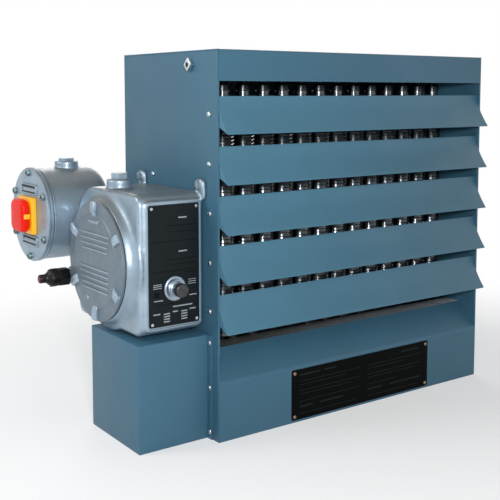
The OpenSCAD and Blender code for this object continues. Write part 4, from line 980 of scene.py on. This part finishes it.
class HEATER_OT_enclosure(HeaterStep, bpy.types.Operator):
    """Cast the control enclosure with its threaded round cover"""

    bl_idname = "heater.enclosure"
    bl_label = "Control enclosure"

    def execute(self, context):
        self.body()
        self.cover()
        self.label()
        return {"FINISHED"}

    def body(self):
        (x0, x1), (y0, y1), (z0, z1) = ENC_X, ENC_Y, ENC_Z
        big, small = ENC_BACK_ROUND, ENC_ROUND
        outline = (arc((y1 - big, z1 - big), big, 0, 90, 10)
                   + arc((y0 + small, z1 - small), small, 90, 180, 5)
                   + arc((y0 + small, z0 + small), small, 180, 270, 5)
                   + arc((y1 - small, z0 + small), small, 270, 360, 5))
        shell = soften(plate("enclosure", outline, 0, x1 - x0, x0), CAST_ROUND, 4)
        collar = turned("collar", [(112, -6), (111, 0), (106, 1), (102.4, 3), (99.4, 6.4),
                                   (97, 11), (COVER_R - 0.2, 14.4), (COVER_R - 1.2, 15)],
                        (x0, COVER_Y, COVER_Z), "-x", 96)
        forms = [shell, collar]
        for y, low in zip(EAR_YS, EAR_FEET):
            ear = plate("ear", round_outline(about(y, EAR_HALF), (low, EAR_Z + BOLT_BOSS_R), 8), 0,
                        6, x1 - 3)
            forms.append(soften(ear, 1.6, 3))
            forms.append(rod("ear_boss", BOLT_BOSS_R, 3, (x1 - 5.5, y, EAR_Z), "x", 32, 0.8))
        forms += [rod("foot", EAR_HALF, 8, (x1 - 5, y, FOOT_Z), "x", 32) for y in FOOT_YS]
        forms.append(rod("hub", HUB_R, 32, (*HUB, z1 - 16), "z", 48, 2.5))
        forms.append(rod("side_boss", SIDE_BOSS_R, 14, (HUB[0], y1 - 11, SWITCH_Z), "y", 48, 1))
        forms.append(rod("gland_boss", 16, 44, (x0 - 12, GLAND_Y, GLAND_Z), "x", 48, 3))
        (lx0, lx1), _, (lz0, lz1) = LABEL
        rim = plate("rim", round_outline((lx0 - RIM_W, lx1 + 5), (lz0 - RIM_W, lz1 + RIM_W), 7),
                    1, 7, y0 - RIM_OUT)
        forms.append(soften(rim, 1.6, 3))
        body = melt("enclosure_casting", forms, passes=5)
        well = plate("well", round_outline((lx0 - WELL_GAP, lx1 + WELL_GAP),
                                           (lz0 - WELL_GAP, lz1 + WELL_GAP), 4),
                     1, WELL_DEEP, y0 - WELL_DEEP)
        nose = rod("nose", NOSE_R, 30, (KNOB_X, y0 - OVERRUN, KNOB_Z), "y", 32)
        place(smooth(carve(body, [well, nose]), 50), "cast_aluminium", "enclosure_body")

    def cover(self):
        y, z, rim = COVER_Y, COVER_Z, COVER_R
        at = (COLLAR_X, y, z)
        disc = turned("cover", [(rim - 8, -12), (rim - 8, 0), (rim - 0.8, 0.2), (rim, 1), (rim, 4),
                                (rim - 0.8, 5), (rim - 3, 5.3), (77, 5.0), (75.4, 5.6),
                                (74, COVER_RISE), (20, COVER_RISE)], at, "-x", 128)
        foot, top = COLLAR_X - 2, COVER_X - LUG_OUT
        lug = plate("lug", [(z + 70.5, foot), (z + 70.5, COVER_X - 1.2), (z + 80, top),
                            (z + rim - 1.2, top), (z + rim - 1.2, foot)], 1, LUG_W, y - LUG_W / 2)
        # The lug is drawn lying down, so X and Z change places
        lug.data.transform(Matrix(((0, 0, 1, 0), (0, 1, 0, 0), (1, 0, 0, 0), (0, 0, 0, 1))))
        soften(face_outwards(lug), 1.4, 3)
        lugs = smooth(ring_of(lug, "cover_lugs", 6, (0, y, z)))
        # The lugs take the lighter copy of the paint, as painted light
        place(lugs, "cast_aluminium", finish="lit_lug_casting")
        joint = turned("cover_joint", [(rim - 3, -1.4), (rim - 0.5, -1.4), (rim - 0.5, 0.2),
                                       (rim - 3, 0.2)], at, "-x", 96, closed=True)
        place(joint, "cast_aluminium", finish="seam_and_shade")
        # The cover's face takes the half-bright copy of the paint, as painted shade
        place(join("cover_casting", [smooth(disc, 30)]), "cast_aluminium", "enclosure_cover",
              "shaded_cover_casting")
        # Raised ribs on the face, as reach to the front, reach to the back and rise
        ribs = [(-54 + 3 * k, 50 - 2 * k, 44 - 8.5 * k) for k in range(4)]
        ribs += [(-50 + k, 52 - 3 * k, -11 - 8.5 * k) for k in range(5)]
        face = COLLAR_X - COVER_RISE
        bars = [block("rib", (face - RIB_OUT, face + RIB_IN), (y + a, y + b),
                      about(z + rise, RIB_HALF), 1.1, 3) for a, b, rise in ribs]
        bars.append(block("rib", (face - 1.2, face + RIB_IN), (y - 16, y + 18), (z + 60, z + 65),
                          0.9, 2))
        bars.append(rod("dot", 4, 1.4, (face + 0.5, y + 24, z - 62), "-x", 24, 0.5))
        place(smooth(join("cover_ribs", bars)), "cast_aluminium", finish="rib_casting")

    def label(self):
        (x0, x1), (y0, y1), (z0, z1) = LABEL
        face = plate("label", round_outline((x0, x1), (z0, z1), PLATE_CORNER), 1,
                     y1 - y0 - 0.02, y0)
        carve(face, [rod("nose", NOSE_R, 10, (KNOB_X, y0 - 4, KNOB_Z), "y", 32)])
        place(soften(face, 0.3, 1), "black_plate", "label_plate", "label_plate")
        y = (y0 - INK_OUT, y0 + INK_IN)
        marks = [block("mark", (x0 + a, x0 + b), y, (z0 + c, z0 + d), 0.1, 1)
                 for a, b, c, d in LABEL_MARKS]
        lines = [rod("dot", 4.6, INK_OUT + INK_IN, (x0 + 13, y[0], z0 + 50), "y", 20)]
        lines += [block("line", (x0 + a, x0 + b), y, (z0 + c, z0 + c + 0.9))
                  for a, b, c in LABEL_LINES]
        place(join("label_marks", marks), "black_plate", finish="ink")
        place(soften(join("label_lines", lines), 0.05, 1), "black_plate", finish="black_ink")
        corners = [(x, z) for z in (z0 + LABEL_END_SET, z1 - LABEL_END_SET)
                   for x in (x0 + LABEL_END_SET, x1 - LABEL_END_SET)]
        screws = [slotted_screw("screw", (x, y0, z), "-y", LABEL_SCREW_R, LABEL_SCREW_RISE,
                                30 * k + 40) for k, (x, z) in enumerate(corners)]
        place(join("label_screw_heads", screws), "zinc", "label_screws")


class HEATER_OT_thermostat(HeaterStep, bpy.types.Operator):
    """Turn the thermostat's dished dial and its slotted knob"""

    bl_idname = "heater.thermostat"
    bl_label = "Thermostat"

    def execute(self, context):
        dial = turned("dial", [(19.5, 0), (19.5, 1.8), (18.9, 2.6), (17.8, 3.3), (16.4, 3.5),
                               (15.2, 3.1), (12.4, 2.9), (11.4, 3.4), (11, 5.4), (9.4, 6.6),
                               (8.2, 11.2), (7.8, 12)], (KNOB_X, DIAL_Y, KNOB_Z), "-y", 72)
        carve(dial, [rod("bore", 5.6, 20, (KNOB_X, DIAL_Y - 16.5, KNOB_Z), "y", 32)])
        place(smooth(dial, 30), "dial_aluminium", "thermostat_bezel")
        knob = turned("knob", [(3, -12), (3, 0.3), (9.6, 0.3), (10.8, 1.6), (11, 3), (11, 9.4),
                               (10.4, 11), (9.4, 11.8), (7.4, KNOB_RISE)],
                      (KNOB_X, KNOB_Y, KNOB_Z), "-y", 64)
        face = KNOB_Y - KNOB_RISE
        slot = block("slot", about(KNOB_X, 8.6), (face - 1, face + KNOB_SLOT_DEEP),
                     about(KNOB_Z, 1.1), 0.4)
        carve(knob, [spun(slot, 35, (KNOB_X, 0, KNOB_Z), "Y")])
        place(smooth(knob, 30), "knob_plastic", "thermostat_knob", body="thermostat_dial")
        return {"FINISHED"}


class HEATER_OT_disconnect(HeaterStep, bpy.types.Operator):
    """Cast the disconnect switch and mould its plate and handle"""

    bl_idname = "heater.disconnect"
    bl_label = "Disconnect switch"

    def execute(self, context):
        y, z = SWITCH_Y, SWITCH_Z
        flange = SWITCH_X + LID_T
        self.body(flange, y, z)
        self.cover(flange, y, z)
        self.switch(y, z)
        return {"FINISHED"}

    def body(self, flange, y, z):
        reach = BARREL[0][1] - flange
        barrel = turned("barrel", [(80, 0.4), (80, 1.6), (79, 3), (79, 16), (79, reach - 20),
                                   (77.6, reach - 12), (73.4, reach - 5.6), (66.6, reach - 1),
                                   (59, reach), (8, reach)], (flange, y, z), "x", 112)
        forms = [barrel,
                 rod("hub", HUB_R, 30, (SWITCH_HUB_X, y, z + 60), "z", 48, 2),
                 rod("boss", SIDE_BOSS_R, 30, (HUB[0], ENC_Y[1] + 7, z), "y", 48, 2)]
        place(melt("disconnect_casting", forms, 1.6), "cast_aluminium", "disconnect_body")

    def cover(self, flange, y, z):
        disc = turned("disc", [(79, 0.5), (79.6, 1), (81, 2), (81, 6.2), (79.4, 7), (79.4, 7.8),
                               (81, 8.6), (81, 10), (80, 11.2), (77, 11.9), (74, LID_T),
                               (40, LID_T), (10, LID_T)], (flange, y, z), "-x", 128)
        forms, floors = [smooth(disc, 30)], []
        for mid in about(z, PAD_RISE):
            pad = plate("pad", round_outline(about(y, PAD_HALF), about(mid, 9), 4), 0, 4.4,
                        SWITCH_X - 2.4)
            well = plate("well", round_outline(about(y, PAD_HALF - PAD_WALL), about(mid, 6.4), 3),
                         0, 4.2, SWITCH_X - 4)
            carve(pad, [well])
            island = plate("island", round_outline((y - 28, y + 26), (mid - 4.4, mid + 2.2), 2),
                           0, 2, SWITCH_X - 1.2)
            forms += [smooth(soften(pad, 0.8, 3)), smooth(soften(island, 0.6, 2))]
            # The wells' floors are near black: painted shade in the recesses round the islands
            floors.append(plate("well_floor", round_outline(
                about(y, PAD_HALF - 3.2), about(mid, 6.2), 2), 0, 0.4, SWITCH_X - 0.3))
        place(join("disconnect_cover_casting", forms), "cast_aluminium", "disconnect_cover")
        place(soften(join("pad_floors", floors), 0.1, 1), "cast_aluminium", finish="seam_and_shade")
        bolt = turned("bolt", [(6, 0), (6, 3.6), (5.4, 4.6), (4.4, 5), (3.2, 5)],
                      (SWITCH_X, y, z + BOLT_CIRCLE), "-x", 28)
        carve(bolt, [rod("socket", 2.8, 4, (SWITCH_X - 6, y, z + BOLT_CIRCLE), "x", 6)])
        bolts = ring_of(bolt, "disconnect_bolt_heads", 6, (0, y, z))
        place(smooth(bolts), "zinc", "disconnect_bolts", "aged_zinc")

    def switch(self, y, z):
        _, side_y, side_z = span("switch_plate")
        base = plate("switch_base", round_outline(side_y, side_z, 3), 0, SWITCH_X - SWITCH_TOP,
                     SWITCH_TOP)
        soften(base, 1.2, 3)
        carve(base, [rod("bore", 6, 16, (SWITCH_TOP - 3, y, z), "x", 32)])
        place(smooth(base), "yellow_plastic", "switch_plate")
        (x0, x1), side_y, side_z = HANDLE
        x0 += HANDLE_SET
        handle = plate("handle", round_outline(side_y, side_z, 14, 8), 0, x1 - x0, x0)
        place(smooth(soften(handle, 6, 6)), "red_plastic", "switch_handle", body="switch_lever")
        pointer = block("pointer", (x0 + 4, x1 - 0.6), (side_y[0] - 0.6, side_y[0] + 6),
                        about(z, 4.2), 0.8)
        place(smooth(pointer), "yellow_plastic", body="switch_lever")


class HEATER_OT_gland(HeaterStep, bpy.types.Operator):
    """Mould the cable gland and its seal"""

    bl_idname = "heater.gland"
    bl_label = "Cable gland"

    def execute(self, context):
        y, z = GLAND_Y, GLAND_Z
        at = (GLAND_X, y, z)
        dome = turned("dome", [(13, -1), (14.6, 0), (14.6, 10), (14, 12.6), (12.6, 14.6),
                               (9.4, 18), (7.6, 21), (7.3, 24), (7.3, 30.4), (6.6, 31.8),
                               (5.4, 32)], at, "-x", 48)
        carve(dome, [rod("bore", GLAND_BORE_R, 34, (GLAND_X - 34, y, z), "x", 32)])
        grip = block("grip", (GLAND_X - 13, GLAND_X - 1), about(y, 1.2), (z + 13.4, z + 15.2), 0.5)
        nut = turned("nut", [(15.1, 0), (15.7, 0.8), (15.7, 18.2), (15.1, 19)], at, "x", 6)
        soften(nut, 0.8, 2)
        body = join("gland", [smooth(dome, 30), nut, ring_of(grip, "grips", 10, (0, y, z))])
        place(body, "gland_black", "gland_body")
        place(turned("gland_collar", [(9, 0), (9, 3.4), (8.6, 4.4)], (GLAND_X + 19, y, z), "x", 32),
              "zinc")
        seal = turned("gland_seal", [(4.5, 0), (4.5, 32.6), (4.1, 33)], at, "-x", 32)
        place(seal, "gland_red", "gland_plug")
        return {"FINISHED"}


class HEATER_OT_fan(HeaterStep, bpy.types.Operator):
    """Spin the fan's inlet ring, whose lip is bolted to the back"""

    bl_idname = "heater.fan"
    bl_label = "Inlet ring"

    def execute(self, context):
        ring = turned("inlet_ring", [(203, 0), (205, 0), (205, 40), (207.4, 44.6), (212, 46),
                                     (221, 46), (221, 48), (211, 48), (206, 46.4), (203, 42)],
                      (0, BACK - 50, FAN_Z), "y", 128, closed=True)
        place(smooth(ring), "casing_paint", "fan_shroud")
        return {"FINISHED"}


class HEATER_OT_motor(HeaterStep, bpy.types.Operator):
    """Cast the ribbed motor and weld the round-wire guard"""

    bl_idname = "heater.motor"
    bl_label = "Motor and guard"

    def execute(self, context):
        shell = turned("motor_shell", [(96, 0), (96, 7), (95, 8), (84, 8.4), (79, 10), (77, 14),
                                       (77, 98), (79.4, 99), (80, 100)],
                       (0, MOTOR_Y, FAN_Z), "y", 96)
        rib = block("rib", (-1.5, 1.5), (MOTOR_Y + 12, BELL_Y - 4), (FAN_Z + 74, FAN_Z + 79.8), 0.8)
        ribs = ring_of(rib, "ribs", 24, (0, 0, FAN_Z), "Y", 7.5)
        place(smooth(join("motor_casting", [shell, ribs]), 30), "motor_paint", "motor_housing")
        bell = turned("bell", [(80, 0), (80, 5), (79, 6), (79, 28), (77, 34), (71, 38.6),
                               (62, 40), (30, 40), (28.4, 39), (24, 39), (22.4, 40), (5, 40)],
                      (0, BELL_Y, FAN_Z), "y", 96)
        lead = rod("lead_hub", 15, 20, (0, BELL_Y + 16, FAN_Z - 94), "z", 40, 2)
        bolt = rod("tie_bolt", 3.4, 3, (62, BELL_Y + 37, FAN_Z), "y", 6)
        bolts = ring_of(bolt, "tie_bolts", 4, (0, 0, FAN_Z), "Y", 45)
        place(smooth(join("bell_casting", [bell, lead]), 30), "motor_paint", "motor_end_bell")
        place(bolts, "zinc")
        self.guard(context.scene.heater_sizes.guard_wire / MM)
        return {"FINISHED"}

    def guard(self, wire):
        rings = [turned("ring", arc((GUARD_R - GUARD_STEP * k - wire, 0), wire, 0, 315, 7),
                        (0, GUARD_Y, FAN_Z), "y", 96, closed=True) for k in range(6)]
        spoke = rod("spoke", wire, 106, (GUARD_R - 107, GUARD_Y - 2, FAN_Z), "x", 10)
        spokes = ring_of(spoke, "spokes", 16, (0, 0, FAN_Z), "Y")
        foot = block("foot", (GUARD_R - 14, GUARD_R), (MOTOR_Y, MOTOR_Y + 6), about(FAN_Z, 7), 0.8)
        feet = ring_of(foot, "feet", 4, (0, 0, FAN_Z), "Y", 45)
        place(smooth(join("wire_guard", [*rings, spokes, feet])), "guard_wire", "fan_guard")


class HEATER_OT_stage(HeaterStep, bpy.types.Operator):
    """Set the floor, the soft lights and the camera"""

    bl_idname = "heater.stage"
    bl_label = "Stage"

    def execute(self, context):
        scene = context.scene
        self.floor()
        self.world(scene)
        for name, spot, size, power in LAMPS:
            bpy.ops.object.light_add(type="AREA", location=spot)
            lamp = context.object
            lamp.name = name
            lamp.data.shape, lamp.data.size, lamp.data.energy = "DISK", size, power
            lamp.rotation_euler = (LAMP_AIM - Vector(spot)).to_track_quat("-Z", "Y").to_euler()
        self.camera(scene)
        scene.view_settings.view_transform = "Standard"
        return {"FINISHED"}

    def floor(self):
        """Pale paper that fades to plain white away from the heater, and keeps its shadow."""
        clear_selection()
        bpy.ops.mesh.primitive_plane_add(size=12, location=(0, 0, 0))
        floor = settle("floor")
        material, tree, bsdf, spot = surface("Pale studio floor", 0.8)
        bsdf.inputs["Base Color"].default_value = linear("#F6F6F6")
        far = add(tree, "VectorMath", {0: spot}, operation="LENGTH").outputs["Value"]
        fade = add(tree, "MapRange", {
            "Value": far, "From Min": 0.4, "From Max": 1.1, "To Min": 0.45, "To Max": 1.0},
            interpolation_type="SMOOTHSTEP").outputs[0]
        paper = add(tree, "Emission", {"Color": (1, 1, 1, 1), "Strength": 1.0})
        pale = add(tree, "MixShader", {
            0: fade, 1: bsdf.outputs[0], 2: paper.outputs[0]})
        mix = add(tree, "MixShader", {
            0: background_ray(tree), 1: bsdf.outputs[0], 2: pale.outputs[0]})
        out = next(n for n in tree.nodes if n.type == "OUTPUT_MATERIAL")
        tree.links.new(mix.outputs[0], out.inputs["Surface"])
        floor.data.materials.append(material)

    def world(self, scene):
        """A faint cool sky that the camera and shiny surfaces see as white."""
        scene.world = bpy.data.worlds.new("Studio")
        scene.world.use_nodes = True
        tree = scene.world.node_tree
        tree.nodes.clear()
        soft = add(tree, "Background", {"Color": (0.86, 0.94, 1, 1), "Strength": 0.2})
        white = add(tree, "Background", {"Color": (1, 1, 1, 1), "Strength": 1.0})
        mix = add(tree, "MixShader", {
            0: background_ray(tree), 1: soft.outputs[0], 2: white.outputs[0]})
        add(tree, "OutputWorld", {"Surface": mix.outputs[0]})

    def camera(self, scene):
        yaw, pitch = CAMERA_TURN
        back = Vector((math.sin(yaw) * math.cos(pitch), -math.cos(yaw) * math.cos(pitch),
                       math.sin(pitch)))
        bpy.ops.object.camera_add(location=CAMERA_TARGET + back * CAMERA_DISTANCE)
        camera = bpy.context.object
        camera.name = "Camera"
        camera.rotation_euler = (-back).to_track_quat("-Z", "Y").to_euler()
        camera.data.sensor_width, camera.data.lens = 36, 64.41
        camera.data.shift_y = -0.15
        camera.data.clip_end = 50
        scene.camera = camera


STEPS = (
    HEATER_OT_finishes, HEATER_OT_casing, HEATER_OT_nameplate, HEATER_OT_fasteners,
    HEATER_OT_louvers, HEATER_OT_core, HEATER_OT_heater_end, HEATER_OT_enclosure,
    HEATER_OT_thermostat, HEATER_OT_disconnect, HEATER_OT_gland, HEATER_OT_fan, HEATER_OT_motor,
    HEATER_OT_stage,
)


class HEATER_PT_steps(bpy.types.Panel):
    """Lists the heater's steps"""

    bl_label = "Unit Heater"
    bl_idname = "HEATER_PT_steps"
    bl_space_type = "VIEW_3D"
    bl_region_type = "UI"
    bl_category = "Heater"

    def draw(self, context):
        for group in (context.scene.heater_sizes, context.scene.heater_colours):
            for key in group.bl_rna.properties.keys():
                if key not in ("rna_type", "name"):
                    self.layout.prop(group, key)
        for step in STEPS:
            self.layout.operator(step.bl_idname)


CLASSES = (HeaterSizes, HeaterColours, *STEPS, HEATER_PT_steps)


def register():
    for cls in CLASSES:
        bpy.utils.register_class(cls)
    bpy.types.Scene.heater_sizes = bpy.props.PointerProperty(type=HeaterSizes)
    bpy.types.Scene.heater_colours = bpy.props.PointerProperty(type=HeaterColours)


def unregister():
    del bpy.types.Scene.heater_sizes, bpy.types.Scene.heater_colours
    for cls in reversed(CLASSES):
        bpy.utils.unregister_class(cls)


def main():
    register()
    for step in STEPS:
        group, name = step.bl_idname.split(".")
        getattr(getattr(bpy.ops, group), name)()


if __name__ == "__main__":
    main()
